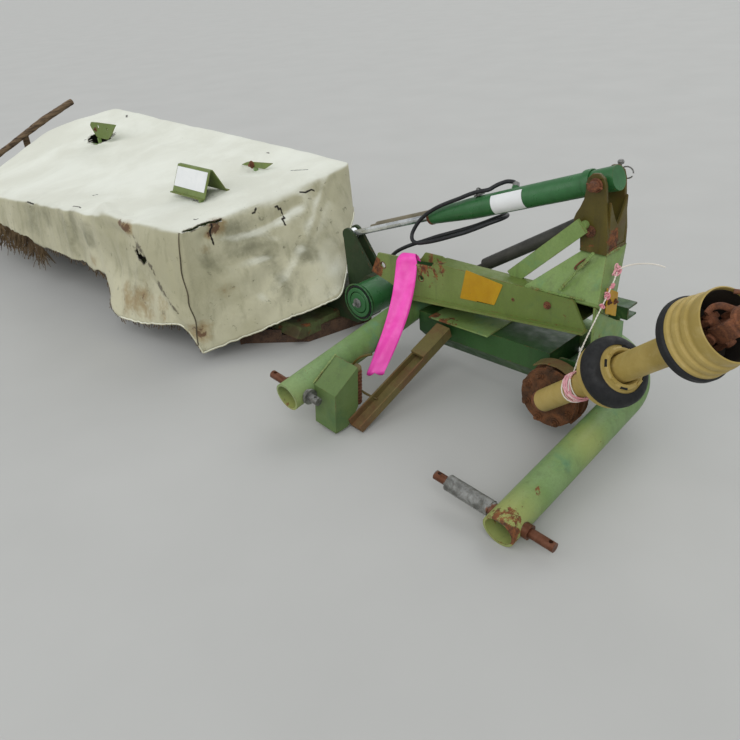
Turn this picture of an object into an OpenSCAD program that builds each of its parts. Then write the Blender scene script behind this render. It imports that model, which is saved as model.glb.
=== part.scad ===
// Mounted disc mower, laid down on its cutter bar as it parks.
// +X is the driving direction, +Y the left side, +Z up; all sizes in millimetres.

/* [Place] */
// Shift of the whole machine along X to its reference point
place_x = 521.3; // [400:0.1:700]
// Shift of the whole machine along Y to its reference point
place_y = 1382.4; // [1200:0.1:1500]

/* [Draft tube] */
// Outside diameter of the bent draft tube
tube_d = 101.6; // [90:0.1:110]
// Wall of the draft tube
tube_wall = 8; // [5:0.5:12]
// Half the distance between the two lower arms
arm_y = 432; // [415:1:445]
// Distance from the lower pins back to the cross tube
arm_len = 810; // [790:1:830]
// Bend radius of the tube's centre line
bend_r = 220; // [200:5:250]
// Angle at which the arms rise to the cross tube
arm_rise = 9; // [8:0.5:10]
// Length of each arm ahead of its pin
arm_nose = 50; // [40:1:60]
// Sideways lean of the parked headstock
lean = 6; // [5:0.5:7]

/* [Lower pins] */
// Diameter of the hitch pins
pin_d = 28.4; // [28:0.1:29]
// Diameter of the bosses through the arms
boss_d = 44; // [38:1:50]
// Diameter of the long inner sleeve of the left pin
sleeve_d = 49; // [46:1:54]
// Length of that sleeve
sleeve_len = 150; // [120:5:170]
// Length of a pin's outer end, from its collar
pin_reach = 75; // [70:1:85]
// Length of the left pin's inner end, from its sleeve
inner_reach = 48; // [40:1:60]
// Diameter of the linchpin holes
linch_d = 12; // [10:0.5:13]
// Clearance between welded or seated pieces
seat_gap = 0.2; // [0.1:0.05:0.3]

/* [Trip strut] */
// Width of the spring box
box_w = 101; // [90:1:105]
// Outside diameter of the trip spring
trip_spring_d = 58; // [50:1:60]
// Wire of the trip spring
trip_wire = 11; // [9:0.5:12]
// Turns of the trip spring
trip_turns = 11; // [8:1:12]
// Width of the strut's channel
strut_w = 58; // [50:1:62]
// Depth of the strut's channel
strut_h = 32; // [28:1:36]

/* [Main beam] */
// Front face of the main beam
beam_x = -540; // [-545:1:-535]
// Plate of the main beam and the hinge plate
plate_t = 9; // [7:0.5:10]
// Reach of the beam's lower lip
lip = 22; // [15:1:26]

/* [Fold hinge] */
// Sideways place of the fold axis
fold_y = -630; // [-640:1:-620]
// Height of the fold axis
fold_z = 230; // [225:1:235]
// Outside diameter of the pivot housing
housing_d = 134; // [128:1:138]
// Front face of the pivot housing
housing_front = -512; // [-516:1:-508]
// Diameter of the fold pin
fold_pin_d = 50; // [40:1:56]
// Running clearance round the fold pin
fold_gap = 0.08; // [0.05:0.01:0.1]

/* [Lift cylinder] */
// Plane in which the lift cylinder works
lift_x = -680; // [-684:1:-676]
// Sideways place of the upper pin
lift_y = 270; // [265:1:275]
// Height of the upper pin
lift_z = 788; // [784:1:792]
// Sideways place of the rod's eye
eye_y = -830; // [-835:1:-825]
// Height of the rod's eye
eye_z = 415; // [411:1:419]
// Diameter of the barrel
barrel_d = 73; // [66:1:76]
// Diameter of the rod
rod_d = 25; // [20:1:28]
// Length from the upper pin to the gland's end
barrel_len = 711; // [700:1:720]
// Diameter of the upper pin
lift_pin_d = 30; // [25:1:32]

/* [Cutter bar] */
// Number of cutting discs
discs = 6; // [5:1:6]
// Distance between neighbouring discs
disc_pitch = 385; // [382:1:388]
// Sideways place of the first disc
disc_y = -1280; // [-1285:1:-1278]
// Fore and aft place of the discs
disc_x = -460; // [-465:1:-455]
// Length of a disc's body
disc_len = 360; // [350:1:364]
// Width of a disc's body
disc_w = 250; // [240:1:256]
// Radius of the circle that the knives sweep
knife_r = 225; // [220:1:228]
// Width of a knife
knife_w = 45; // [40:1:48]
// Fore and aft width of the gear bed
bed_w = 335; // [325:1:340]

/* [Cover] */
// Inner end of the cover
cover_in = -1100; // [-1104:1:-1096]
// Outer end of the cover
cover_out = -3460; // [-3470:1:-3456]
// Thickness of the cover's cloth
cloth = 5; // [4:0.5:6]

/* [Drive shaft] */
// Diameter of the guard tube nearer the machine
guard_d1 = 70; // [66:1:74]
// Diameter of the outer guard tube
guard_d2 = 75; // [75:1:79]
// Diameter of the rubber rings on the guard bells
ring_d = 190; // [184:1:196]
// Distance from the joint to the first bell
bell_a = 392; // [380:1:400]
// Distance from the joint to the second bell
bell_b = 690; // [680:1:700]
// Diameter of the bore for the tractor's stub shaft
stub_d = 35; // [34.8:0.1:35.2]

/* [Hose] */
// Diameter of the lift hose
hose_d = 14; // [12:0.5:16]

/* [Hidden] */
$fn = 64;

light_green = "#7f9a55";
dark_green = "#2f6a3c";
bright_green = "#2e8a45";
olive = "#6f6a35";
rust = "#7a4a30";
khaki = "#a8924c";
steel = "#8d8f8e";

tube_r = tube_d / 2;
bore_r = tube_r - tube_wall;
// Height of the pin line: the left arm's end rests on the ground
head_z = arm_y * sin(lean) + arm_nose * sin(arm_rise) * cos(lean) + tube_r * cos(arm_rise) * cos(lean)
    + 0.3;
straight = arm_len - bend_r;
boss_half = tube_r + 5;

// The cylinder's line from its upper pin to the rod's eye
lift_dy = eye_y - lift_y;
lift_dz = eye_z - lift_z;
lift_len = sqrt(lift_dy * lift_dy + lift_dz * lift_dz);
lift_drop = atan2(lift_z - eye_z, lift_y - eye_y);

// The drive shaft's joint and the way the shaft points
joint_p = [-405, 250, 160];
shaft_side = 72.45;
shaft_climb = 40.2;

hinge_x0 = -749;
bed_z = 35;
bed_t = 50;
disc_z = 104;

module place() { translate([place_x, place_y, 0]) children(); }
module head() { place() translate([0, 0, head_z]) rotate([-lean, 0, 0]) children(); }
module tube_plane() { head() rotate([0, arm_rise, 0]) children(); }
module shaft_line() {
    place() translate(joint_p) rotate([0, 0, shaft_side]) rotate([0, 90 - shaft_climb, 0]) children();
}
module lift_line() {
    place() translate([lift_x, lift_y, lift_z]) rotate([lift_drop, 0, 0]) rotate([90, 0, 0]) children();
}
module ring(outer, inner, h) {
    difference() {
        cylinder(r = outer, h = h);
        translate([0, 0, -1]) cylinder(r = inner, h = h + 2);
    }
}
// A cylinder along X from x0 to x1
module bar_x(r, x0, x1) { translate([x0, 0, 0]) rotate([0, 90, 0]) cylinder(r = r, h = x1 - x0); }
// A cylinder along Y from y0 to y1
module bar_y(r, y0, y1) { translate([0, y0, 0]) rotate([-90, 0, 0]) cylinder(r = r, h = y1 - y0); }
// A plate with its outline in Y and Z, from x0 forward by t
module plate_yz(points, x0, t) {
    translate([x0, 0, 0]) rotate([90, 0, 90]) linear_extrude(height = t) polygon(points);
}
// A plate with its outline in X and Z, from y0 towards the left by t
module plate_xz(points, y0, t) {
    translate([0, y0 + t, 0]) rotate([90, 0, 0]) linear_extrude(height = t) polygon(points);
}

// A straight rod from a to b
module rod(a, b, d) {
    v = b - a;
    translate(a) rotate([0, acos(v[2] / norm(v)), atan2(v[1], v[0])]) cylinder(d = d, h = norm(v));
}
// The room that the draft tube takes, for what is cut to seat on it
module tube_room() {
    room_r = tube_r + seat_gap;
    tube_plane() for (side = [-1, 1]) {
        translate([-straight, side * arm_y, 0]) bar_x(room_r, 0, straight + arm_nose);
        translate([-straight, side * (arm_y - bend_r), 0]) rotate([0, 0, side > 0 ? 90 : 180])
            rotate_extrude(angle = 90) translate([bend_r, 0]) circle(r = room_r);
        translate([-arm_len, 0, 0]) bar_y(room_r, -(arm_y - bend_r), arm_y - bend_r);
    }
}

module tube_bend(side) {
    translate([-straight, side * (arm_y - bend_r), 0]) rotate([0, 0, side > 0 ? 90 : 180])
        rotate_extrude(angle = 90) translate([bend_r, 0]) difference() {
            circle(r = tube_r);
            circle(r = bore_r);
        }
}

module draft_tube() {
    color(light_green) difference() {
        tube_plane() union() {
            for (side = [-1, 1]) {
                translate([-straight, side * arm_y, 0]) rotate([0, 90, 0])
                    ring(tube_r, bore_r, straight + arm_nose);
                tube_bend(side);
            }
            translate([-arm_len, -(arm_y - bend_r), 0]) rotate([-90, 0, 0])
                ring(tube_r, bore_r, 2 * (arm_y - bend_r));
        }
        head() bar_y(boss_d / 2 + seat_gap, -arm_y - 80, -arm_y + 80);
        head() bar_y(boss_d / 2 + seat_gap, arm_y - 80, arm_y + 80);
    }
}

module lower_pin_right() {
    tip_out = -arm_y - boss_half - 12;
    color(rust) head() difference() {
        union() {
            bar_y(boss_d / 2, -arm_y - boss_half, -arm_y + boss_half);
            bar_y(pin_d / 2, tip_out - pin_reach + 12, -arm_y + boss_half + inner_reach);
            bar_y(boss_d / 2 + 5, -arm_y + boss_half, -arm_y + boss_half + 9);
        }
        translate([0, tip_out - pin_reach + 28, -30]) cylinder(d = linch_d, h = 60);
        translate([0, -arm_y + boss_half + inner_reach - 14, -30]) cylinder(d = linch_d, h = 60);
    }
}

module lower_pin_left() {
    sleeve_y1 = arm_y - boss_half - 4;
    sleeve_y0 = sleeve_y1 - sleeve_len;
    color(steel) head() difference() {
        union() {
            bar_y(boss_d / 2, sleeve_y1, arm_y + boss_half);
            bar_y(sleeve_d / 2, sleeve_y0, sleeve_y1);
            bar_y(pin_d / 2, sleeve_y0 - inner_reach, sleeve_y0);
            bar_y(boss_d / 2, arm_y + boss_half, arm_y + boss_half + 12);
            bar_y(pin_d / 2, arm_y + boss_half + 12, arm_y + boss_half + 12 + pin_reach);
        }
        translate([0, sleeve_y0 - inner_reach + 14, -30]) cylinder(d = linch_d, h = 60);
        translate([0, arm_y + boss_half + pin_reach - 2, -30]) cylinder(d = linch_d, h = 60);
    }
}

// Closed tapered box that holds the trip spring, hung on the inner side of the right arm
box_y0 = -arm_y + tube_r + seat_gap;
module spring_box() {
    color(light_green) head() union() {
        plate_xz([[-30, 30], [-134, 96], [-134, -62], [-102, -104], [-84, -122], [-29, -122]], box_y0, box_w);
        translate([-56, box_y0 + box_w - 30, -133]) cylinder(r = 9, h = 14);
    }
}

module trip_spring() {
    turn_step = 14;
    color(rust) head() translate([-134 - trip_spring_d / 2 - seat_gap, box_y0 + box_w / 2, -90]) union() {
        cylinder(d = trip_spring_d - 2 * trip_wire + 3, h = turn_step * (trip_turns - 1));
        for (i = [0:trip_turns - 1]) translate([0, 0, i * turn_step])
            rotate_extrude() translate([(trip_spring_d - trip_wire) / 2, 0]) circle(d = trip_wire, $fn = 24);
    }
}

// Channel strut from the spring box up to the frame behind the belt guard
strut_a = [-92, box_y0 + box_w + seat_gap + strut_w / 2, -108];
strut_climb = 22;
// The belt guard's front face and top, with the strut's end this far ahead of it
guard_front = -556;
guard_top = 245;
strut_gap = 10;
strut_len = (strut_a[0] - guard_front - strut_gap) / cos(strut_climb);
module trip_strut() {
    color(olive) head() translate(strut_a) rotate([0, 0, 180]) rotate([0, -strut_climb, 0])
        union() {
            difference() {
                translate([0, -strut_w / 2, -strut_h / 2]) cube([strut_len, strut_w, strut_h]);
                translate([-1, -strut_w / 2 + 6, -strut_h / 2 + 6]) cube([strut_len + 2, strut_w - 12, strut_h]);
            }
            translate([strut_len - 150, -strut_w / 2, strut_h / 2 - 1]) cube([150, strut_w, 11]);
        }
}

beam_outline = [[-590, 355], [-550, 436], [-395, 445], [-372, 428], [-292, 434], [-272, 457],
    [266, 460], [317, 365], [-405, 297], [-500, 330]];
// The shelf behind the beam rises evenly towards the left
shelf_in = 262;
shelf_out = -405;
function shelf_z(y) = 305 + (y - shelf_out) * 0.094;
tower_y0 = 90;
tower_y1 = 345;
// Lower edge of the tower's outer end, which rises to the front above the draft tube's bend
tower_foot = [[-760, 325], [-700, 350], [-629, 392], [-582, 423], [-545, 456], [-530, 460]];

module main_beam() {
    shelf_back = hinge_x0 + plate_t + seat_gap;
    color(light_green) difference() {
        place() union() {
            plate_yz(beam_outline, beam_x - plate_t, plate_t);
            // lip along the lower edge, and the shelf that reaches back to the hinge plate
            plate_yz([[317, 365], [-405, 297], [-405, 305], [317, 373]], beam_x - plate_t, plate_t + lip);
            plate_yz([[shelf_in, shelf_z(shelf_in) - 8], [shelf_out, shelf_z(shelf_out) - 8],
                [shelf_out, shelf_z(shelf_out)], [shelf_in, shelf_z(shelf_in)]], shelf_back,
                beam_x - shelf_back - 1);
            plate_yz([[tower_y0 - 2, 458], [-272, 457], [-272, 449], [tower_y0 - 2, 450]],
                beam_x - plate_t - 55, 56);
        }
        place() translate([beam_x - 60, -528, 392]) bar_x(13, 0, 90);
        place() translate([beam_x - 60, -340, 385]) bar_x(12, 0, 90);
        place() translate([beam_x - 60, -52, 385]) bar_x(4, 0, 90);
        place() translate([beam_x - 60, 52, 405]) bar_x(4, 0, 90);
        tube_room();
    }
}

// Plate on the cross tube that carries the beam's shelf and the fold pin
module hinge_plate() {
    color(dark_green) difference() {
        place() union() {
            plate_yz([[-700, 190], [-690, 275], [-560, 345], [-470, 362], [240, 392], [320, 340], [320, 110],
                [200, 90], [-480, 90], [-560, 150], [-640, 160]], hinge_x0, plate_t);
            translate([0, fold_y, fold_z]) bar_x(fold_pin_d / 2, hinge_x0 + plate_t - 1, housing_front - 26);
        }
        // window that leaves the tube free between the lower web and the strip under the shelf
        place() plate_yz([[-430, 168], [-430, shelf_z(-430) - 20], [262, shelf_z(262) - 20], [262, 168]],
            hinge_x0 - 1, plate_t + 2);
        tube_room();
    }
}

// Saddle plates between the draft tube and the beam: one at the inner end and a gusset under the tower
gusset_y = 328;
module beam_saddle() {
    color(light_green) difference() {
        place() union() {
            plate_xz([[-740, 215], [-740, 332], [-700, 349], [-629, 391], [-582, 422], [-552, 449], [-552, 215]],
                gusset_y, 8);
            plate_xz([[-735, 270], [-735, 330], [-552, 330], [-552, 270]], shelf_out - 10 - seat_gap, 10);
        }
        tube_room();
    }
}

// Folded plate tower from the shelf up to the fork
fork_base_z = 585;
fork_y0 = 236;
fork_y1 = 314;
tower_back = -735;
tower_x1 = beam_x - plate_t - seat_gap;
module tower_form(inset) {
    hull() {
        place() translate([0, 0, 300]) linear_extrude(height = 162 - inset)
            polygon([[tower_back + inset, tower_y0 + inset], [tower_x1 - inset, tower_y0 + inset],
                [tower_x1 - inset, tower_y1 - inset], [tower_back + inset, tower_y1 - 50 - inset]]);
        place() translate([lift_x - 70 + inset, fork_y0 + inset, fork_base_z - 1 - seat_gap - inset])
            cube([118 - 2 * inset, fork_y1 - fork_y0 - 2 * inset, 1]);
    }
}
module tower() {
    color(light_green) difference() {
        tower_form(0);
        tower_form(plate_t);
        place() plate_yz([[tower_y0 - 60, 0], [tower_y1 + 60, 0], [tower_y1 + 60, shelf_z(tower_y1 + 60) + seat_gap],
            [tower_y0 - 60, shelf_z(tower_y0 - 60) + seat_gap]], -900, 500);
        place() plate_xz(concat([[-530, 200], [-760, 200]], tower_foot), shelf_in, 200);
    }
}

// Clevis that holds the lift cylinder's upper pin
ear_half = 48;
ear_t = 12;
module ear(x0) {
    place() union() {
        plate_yz([[fork_y0, fork_base_z], [fork_y1, fork_base_z], [fork_y1, 700], [lift_y + 30, lift_z],
            [lift_y - 32, lift_z], [fork_y0 - 6, 700]], x0, ear_t);
        translate([0, lift_y, lift_z]) bar_x(33, x0, x0 + ear_t);
    }
}
module tower_fork() {
    color(olive) difference() {
        union() {
            ear(lift_x + ear_half);
            ear(lift_x - ear_half - ear_t);
            place() translate([lift_x - ear_half - 1, fork_y0, fork_base_z])
                cube([2 * ear_half + 2, fork_y1 - fork_y0, 12]);
            place() translate([lift_x - ear_half - 1, fork_y1 - 12, fork_base_z]) cube([2 * ear_half + 2, 12, 110]);
            place() translate([0, lift_y, lift_z]) bar_x(lift_pin_d / 2, lift_x - 78, lift_x + 78);
        }
    }
}

// Flat stay from the fork's knuckle down to the beam
stay_x = -604;
module tower_stay() {
    color(light_green) place() union() {
        difference() {
            translate([stay_x, 245, 668]) rotate([42, 0, 0]) translate([0, -320, -24]) cube([12, 324, 48]);
            translate([-700, -200, 300]) cube([200, 300, 158 + seat_gap]);
        }
        translate([0, 245, 668]) bar_x(13, lift_x + ear_half + ear_t + seat_gap, stay_x + 1);
    }
}

// Sleeve of the relief springs behind the stay
module relief_tube() {
    relief_x = lift_x - ear_half - ear_t - 23 - seat_gap;
    color("#4a4c4c") place() union() {
        translate([relief_x, 240, 668]) rotate([121, 0, 0]) union() {
            cylinder(d = 46, h = 540);
            cylinder(d = 20, h = 600);
        }
        translate([0, 240 - 590 * sin(59), 668 - 590 * cos(59)]) bar_x(12, relief_x, hinge_x0 - seat_gap);
    }
}

guard_back = hinge_x0 + plate_t + seat_gap;
guard_profile = [[guard_front, guard_top], [guard_front, 165], [-622, 92], [guard_back, 92],
    [guard_back, guard_top]];
bearing_r = 62;
guard_y0 = -372;
module belt_guard() {
    color(dark_green) difference() {
        place() plate_xz(guard_profile, guard_y0, 250 - guard_y0 - bearing_r - seat_gap);
        tube_room();
    }
}

module guard_cover() {
    color(light_green) difference() {
        place() translate([-728, -300, guard_top + seat_gap]) cube([200, 260, 5]);
        tube_room();
    }
}

module input_bearing() {
    color(dark_green) difference() {
        place() translate([0, 250, 148]) bar_x(bearing_r, guard_back, -532);
        tube_room();
    }
}

module slip_clutch() {
    color(rust) place() translate([0, 250, 148]) union() {
        bar_x(100, -528, -500);
        bar_x(66, -501, -479);
        bar_x(96, -480, -452);
        bar_x(34, -453, -438);
        bar_x(24, -532 + seat_gap, -527);
    }
}

module shaft_joint() {
    color(rust) union() {
        place() translate([0, joint_p[1], joint_p[2]]) bar_x(26, -438 + seat_gap, joint_p[0] + 4);
        shaft_line() translate([0, 0, -6]) cylinder(r = 20, h = 30);
        shaft_line() translate([0, 0, 18]) cylinder(d = guard_d1 - 0.4, h = 12 - seat_gap);
    }
}

module guard_tube_inner() {
    slide_r = guard_d2 / 2 - 4 - 0.3;
    color(khaki) shaft_line() union() {
        translate([0, 0, 30]) ring(guard_d1 / 2, slide_r - 4, bell_a - 20 - 30 - 0.3);
        translate([0, 0, bell_a - 30]) ring(slide_r, slide_r - 4, bell_b - 100 - bell_a + 30);
    }
}

// Bell with its rubber ring; the mouth points along the shaft
module bell(back, mouth, mouth_d) {
    rotate_extrude() polygon([[guard_d2 / 2 + 1, 0], [ring_d / 2 - 6, back], [ring_d / 2, back],
        [ring_d / 2, back + 34], [mouth_d / 2, mouth], [mouth_d / 2 - 5, mouth],
        [ring_d / 2 - 12, back + 30], [ring_d / 2 - 12, back + 8], [guard_d2 / 2 + 1, 8]]);
}
module guard_bell_inner() {
    color(khaki) shaft_line() translate([0, 0, bell_a - 40]) rotate_extrude()
        polygon([[guard_d1 / 2 + seat_gap, 0], [70, 0], [ring_d / 2, 18], [ring_d / 2, 52], [60, 60],
            [guard_d2 / 2 + 2, 60], [guard_d2 / 2 + 2, 10], [guard_d1 / 2 + seat_gap, 10]]);
}

module channel_stub() {
    color(dark_green) place() translate([-809 - seat_gap, 250, 332]) difference() {
        cube([60, 92, 42]);
        translate([-1, -1, 6]) cube([54, 94, 30]);
    }
}

module pivot_housing() {
    color(bright_green) place() translate([0, fold_y, fold_z]) union() {
        bar_x(housing_d / 2 - 14, housing_front, housing_front + 8);
        difference() {
            bar_x(housing_d / 2, hinge_x0 + plate_t + 6, housing_front);
            bar_x(fold_pin_d / 2 + fold_gap, hinge_x0 + plate_t, housing_front - 20);
        }
    }
}

arm_x0 = -734;
arm_x1 = -604;
module swing_arm() {
    color(dark_green) difference() {
        place() plate_yz([[fold_y, fold_z + 66], [fold_y - 60, fold_z + 60], [-790, 196], [-1050, 196],
            [-1050, bed_z + bed_t + seat_gap], [bed_y1 + 6, bed_z + bed_t + seat_gap], [bed_y1 + 6, 60 + seat_gap],
            [-760, 60 + seat_gap], [fold_y - 60, fold_z - 90], [fold_y, fold_z - 66]], arm_x0, arm_x1 - arm_x0);
        place() translate([0, fold_y, fold_z]) bar_x(housing_d / 2 + seat_gap, -800, -500);
    }
}

lug_gap = 34;
module lift_lug() {
    color(olive) place() for (x0 = [lift_x + lug_gap / 2, lift_x - lug_gap / 2 - 12]) union() {
        plate_yz([[-848, 196 + seat_gap], [-790, 196 + seat_gap], [-700, 286], [-800, 430], [-858, 430]], x0, 12);
        translate([0, eye_y, eye_z]) bar_x(30, x0, x0 + 12);
    }
}

bed_x1 = disc_x + 95;
bed_x0 = bed_x1 - bed_w;
bed_y1 = -880;
bed_y0 = disc_y - (discs - 1) * disc_pitch - knife_r - 15;
module gear_bed() {
    color(dark_green) place() union() {
        plate_xz([[bed_x1, bed_z + 12], [bed_x1 - 30, bed_z + bed_t], [bed_x0, bed_z + bed_t],
            [bed_x0, bed_z + 8], [bed_x0 + 20, bed_z], [bed_x1 - 24, bed_z]], bed_y0, bed_y1 - bed_y0);
        for (i = [0:discs - 1]) translate([disc_x, disc_y - i * disc_pitch, bed_z + bed_t])
            cylinder(r = 55, h = disc_z - bed_z - bed_t - 6);
    }
}

module skid_shoes() {
    color(rust) place() for (i = [0:discs - 1])
        plate_xz([[bed_x1 + 26, bed_z + 22], [bed_x1 + 20, 22], [bed_x1 - 20, 0], [bed_x0 + 40, 0],
            [bed_x0 + 40, bed_z - seat_gap], [bed_x1 - 22, bed_z - seat_gap], [bed_x1 + 2, bed_z + 12],
            [bed_x1 + 10, bed_z + 24]],
            disc_y - i * disc_pitch - 130, 260);
}

module inner_shoe() {
    color(rust) place() difference() {
        linear_extrude(height = 60) polygon([[-240, -1112], [-262, -1100], [-436, -894],
            [-742, -824], [-745, -838], [-560, -878.2], [-440, -906], [-252, -1120]]);
        translate([bed_x0 - 1, bed_y0, bed_z - seat_gap])
            cube([bed_x1 - bed_x0 + 2, bed_y1 - bed_y0 + seat_gap, 100]);
    }
}

module outer_shoe() {
    color(rust) place() plate_xz([[-200, 60], [-260, 0], [-740, 0], [-740, 130], [-420, 150], [-240, 110]],
        bed_y0 - 24, 24 - seat_gap);
}

rail_d = 28;
cross_d = rail_d - 4;
frame_a = [-98, -1155, 530];
frame_b = [-95, -3375, 344];
frame_c = [-1035, -3375, 605];
frame_d = [-890, -1150, 578];
function between(a, b, t) = a + (b - a) * t;
mid_in = between(frame_d, frame_a, 175 / 795);
mid_out = between(frame_c, frame_b, 320 / 940);
// Posts through the cover: x, y, height of the seat above the cover, height of the rail below
tent_t = 0.0855;
brackets = [[-318, -1340, 572, 540], [-715, -1480, 594, 556], [-715, -2980, 575, 514]];
module cover_frame() {
    color(light_green) place() union() {
        rod(frame_a, frame_b, rail_d);
        rod(frame_b, frame_c, rail_d);
        rod(frame_c, frame_d, rail_d);
        rod(frame_d, frame_a, rail_d);
        for (p = [frame_a, frame_b, frame_c, frame_d]) translate(p) sphere(d = rail_d + 4);
        rod(mid_in, mid_out, cross_d);
        rod(between(frame_a, frame_b, tent_t), between(mid_in, mid_out, tent_t), cross_d);
        for (p = [mid_in, mid_out])
            translate([bed_x0 - 30 - seat_gap, p[1] - 15, bed_z + 10]) cube([30, 30, p[2] - bed_z - 10]);
        for (b = brackets) translate([b[0] - 8, b[1] - 8, b[3]]) cube([16, 16, b[2] - b[3] - seat_gap]);
    }
}

// Bent plate over the inner post, in X and Z, and the two upright plates behind it, in Y and Z
tent = [[-306, 572], [-306, 576], [-320, 576], [-371, 680], [-385, 680], [-437, 584], [-450, 584], [-450, 580],
    [-435, 580], [-382, 676], [-374, 676], [-324, 572]];
tent_y0 = -1556;
tent_y1 = -1318;
small_plate = [[-1584, 594], [-1412, 594], [-1346, 628], [-1532, 613]];
large_plate = [[-3052, 640], [-3013, 590], [-2992, 575], [-2870, 575], [-2817, 604], [-2760, 650], [-2732, 669],
    [-2945, 664], [-3030, 660]];
bracket_t = 6;
module cover_brackets() {
    color(olive) place() union() {
        plate_xz(tent, tent_y0, tent_y1 - tent_y0);
        plate_yz(small_plate, brackets[1][0] - bracket_t / 2, bracket_t);
        plate_yz(large_plate, brackets[2][0] - bracket_t / 2, bracket_t);
    }
}

// Rows of the cover from its inner to its outer end: front hem, front edge, rear edge, rear hem
cover_rows = [
    [[-42, 0, 52], [-62, 0, 555], [-935, -30, 605], [-905, -50, 430]],
    [[14, 300, 60], [-48, 300, 536], [-955, 300, 610], [-965, 300, 330]],
    [[44, 520, 96], [-44, 520, 522], [-970, 520, 614], [-985, 520, 320]],
    [[-30, 690, 228], [-40, 690, 512], [-985, 690, 618], [-1000, 690, 310]],
    [[-20, 1200, 220], [-42, 1200, 464], [-1025, 1200, 630], [-1040, 1200, 310]],
    [[-22, 1880, 205], [-48, 1880, 402], [-1075, 1880, 642], [-1085, 1880, 320]],
    [[-30, 2350, 215], [-50, 2360, 352], [-1100, 2340, 650], [-1085, 2350, 330]]];
// Middle of each end: hem and edge
cover_flap = [[-560, -300, 186], [-500, 0, 584]];
cover_bulge = [[-650, 2450, 300], [-680, 2460, 592]];
// How far the front hangs back at its waist, so that the link pin stays free, and where the waist is
cover_tuck = [0, -22, -43, -4, 0, 0, 0];
waist_t = 0.42;
function cover_y(d) = cover_in + d * (cover_out - cover_in) / 2360;
function spot(p) = [p[0], cover_y(p[1]), p[2]];
cover_n = len(cover_rows);
function cover_loop(k) = concat(
    [for (i = [0:cover_n - 1]) spot(cover_rows[i][k])], [spot(cover_bulge[k])],
    [for (i = [cover_n - 1:-1:0]) spot(cover_rows[i][3 - k])], [spot(cover_flap[k])]);
cover_hem = cover_loop(0);
cover_edge = cover_loop(1);
cover_waist = [for (i = [0:len(cover_hem) - 1])
    between(cover_hem[i], cover_edge[i], waist_t) + [i < cover_n ? cover_tuck[i] : 0, 0, 0]];
cover_side = concat([[-1, -1]], [for (i = [1:cover_n - 2]) [-1, 0]], [[-1, 1], [0, 1], [1, 1]],
    [for (i = [1:cover_n - 2]) [1, 0]], [[1, -1], [0, -1.4]]);
function cover_inside(loop, drop) = [for (i = [0:len(loop) - 1])
    loop[i] + [cover_side[i][0] * cloth, cover_side[i][1] * cloth, -drop]];
module canvas_cover() {
    n = len(cover_side);
    points = concat(cover_hem, cover_waist, cover_edge, cover_inside(cover_edge, cloth),
        cover_inside(cover_waist, 0), cover_inside(cover_hem, 0));
    // levels: outer wall, inner wall and the rim between their hems; both walls share their diagonals
    walls = [for (level = [0, 1, 3, 4, 5]) for (k = [0:n - 1])
        let (a = level * n + k, b = level * n + (k + 1) % n, c = (a + n) % (6 * n), d = (b + n) % (6 * n))
        each level < 2 ? [[a, b, d], [a, d, c]] : [[a, b, c], [b, d, c]]];
    last = 2 * cover_n;
    e = 2 * n;
    top = concat([for (i = [0:cover_n - 2]) each [[e + i, e + i + 1, e + last - i - 1],
        [e + i, e + last - i - 1, e + last - i]]],
        [[e, e + n - 1, e + last], [e + cover_n - 1, e + cover_n, e + cover_n + 1]]);
    under = [for (f = top) [f[0] + n, f[2] + n, f[1] + n]];
    color("#d8d4c4") place() difference() {
        polyhedron(points = points, faces = concat(walls, top, under), convexity = 8);
        for (b = brackets) translate([b[0] - 10, b[1] - 10, b[3]]) cube([20, 20, 80]);
    }
}

// Pole of the swath board, held by a strap that rises outside the outer shoe
module swath_stick() {
    pole_a = [-900, -3640, 700];
    pole_b = [40, -3570, 350];
    color("#6b4a2c") place() union() {
        rod(pole_a, pole_b, 42);
        translate([-560, -3630, 60]) cube([40, 8, 505]);
        translate([-560, -3630, 60]) cube([40, 3630 - 24 + bed_y0 - seat_gap, 8]);
    }
}

module disc(i) {
    turn = i % 2 == 0 ? 0 : 90;
    color(light_green) place() translate([disc_x, disc_y - i * disc_pitch, disc_z]) rotate([0, 0, turn])
        union() {
            intersection() {
                cylinder(r = disc_len / 2, h = 12);
                translate([-disc_len, -disc_w / 2, -1]) cube([2 * disc_len, disc_w, 40]);
            }
            translate([0, 0, 12]) cylinder(r1 = 110, r2 = 60, h = 22);
            translate([0, 0, -6]) cylinder(r = 50, h = 6);
            for (a = [0, 180]) rotate([0, 0, a]) translate([disc_len / 2 - 45, -knife_w / 2, -4])
                cube([knife_r - disc_len / 2 + 44, knife_w, 4]);
        }
}

port_s = 345;
module lift_barrel() {
    color(bright_green) lift_line() difference() {
        union() {
            rotate_extrude() polygon([[0, -38], [barrel_d / 2, -38], [barrel_d / 2, barrel_len - 200],
                [26, barrel_len], [0, barrel_len]]);
            translate([0, 0, port_s]) rotate([0, 0, 135]) rotate([0, 90, 0]) cylinder(r = 12, h = barrel_d / 2 + 12);
        }
        rotate([0, 90, 0]) translate([0, 0, -60]) cylinder(d = lift_pin_d + 2 * seat_gap, h = 120);
        translate([0, 0, 60]) cylinder(d = rod_d + 16, h = barrel_len - 100);
        translate([0, 0, 60]) cylinder(d = rod_d + 2 * seat_gap, h = barrel_len);
    }
}

module lift_rod() {
    color("silver") lift_line() difference() {
        union() {
            translate([0, 0, lift_len - 660]) cylinder(d = rod_d, h = 640);
            translate([0, 0, lift_len]) rotate([0, 90, 0]) translate([0, 0, -13]) cylinder(r = 24, h = 26);
        }
    }
}

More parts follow.
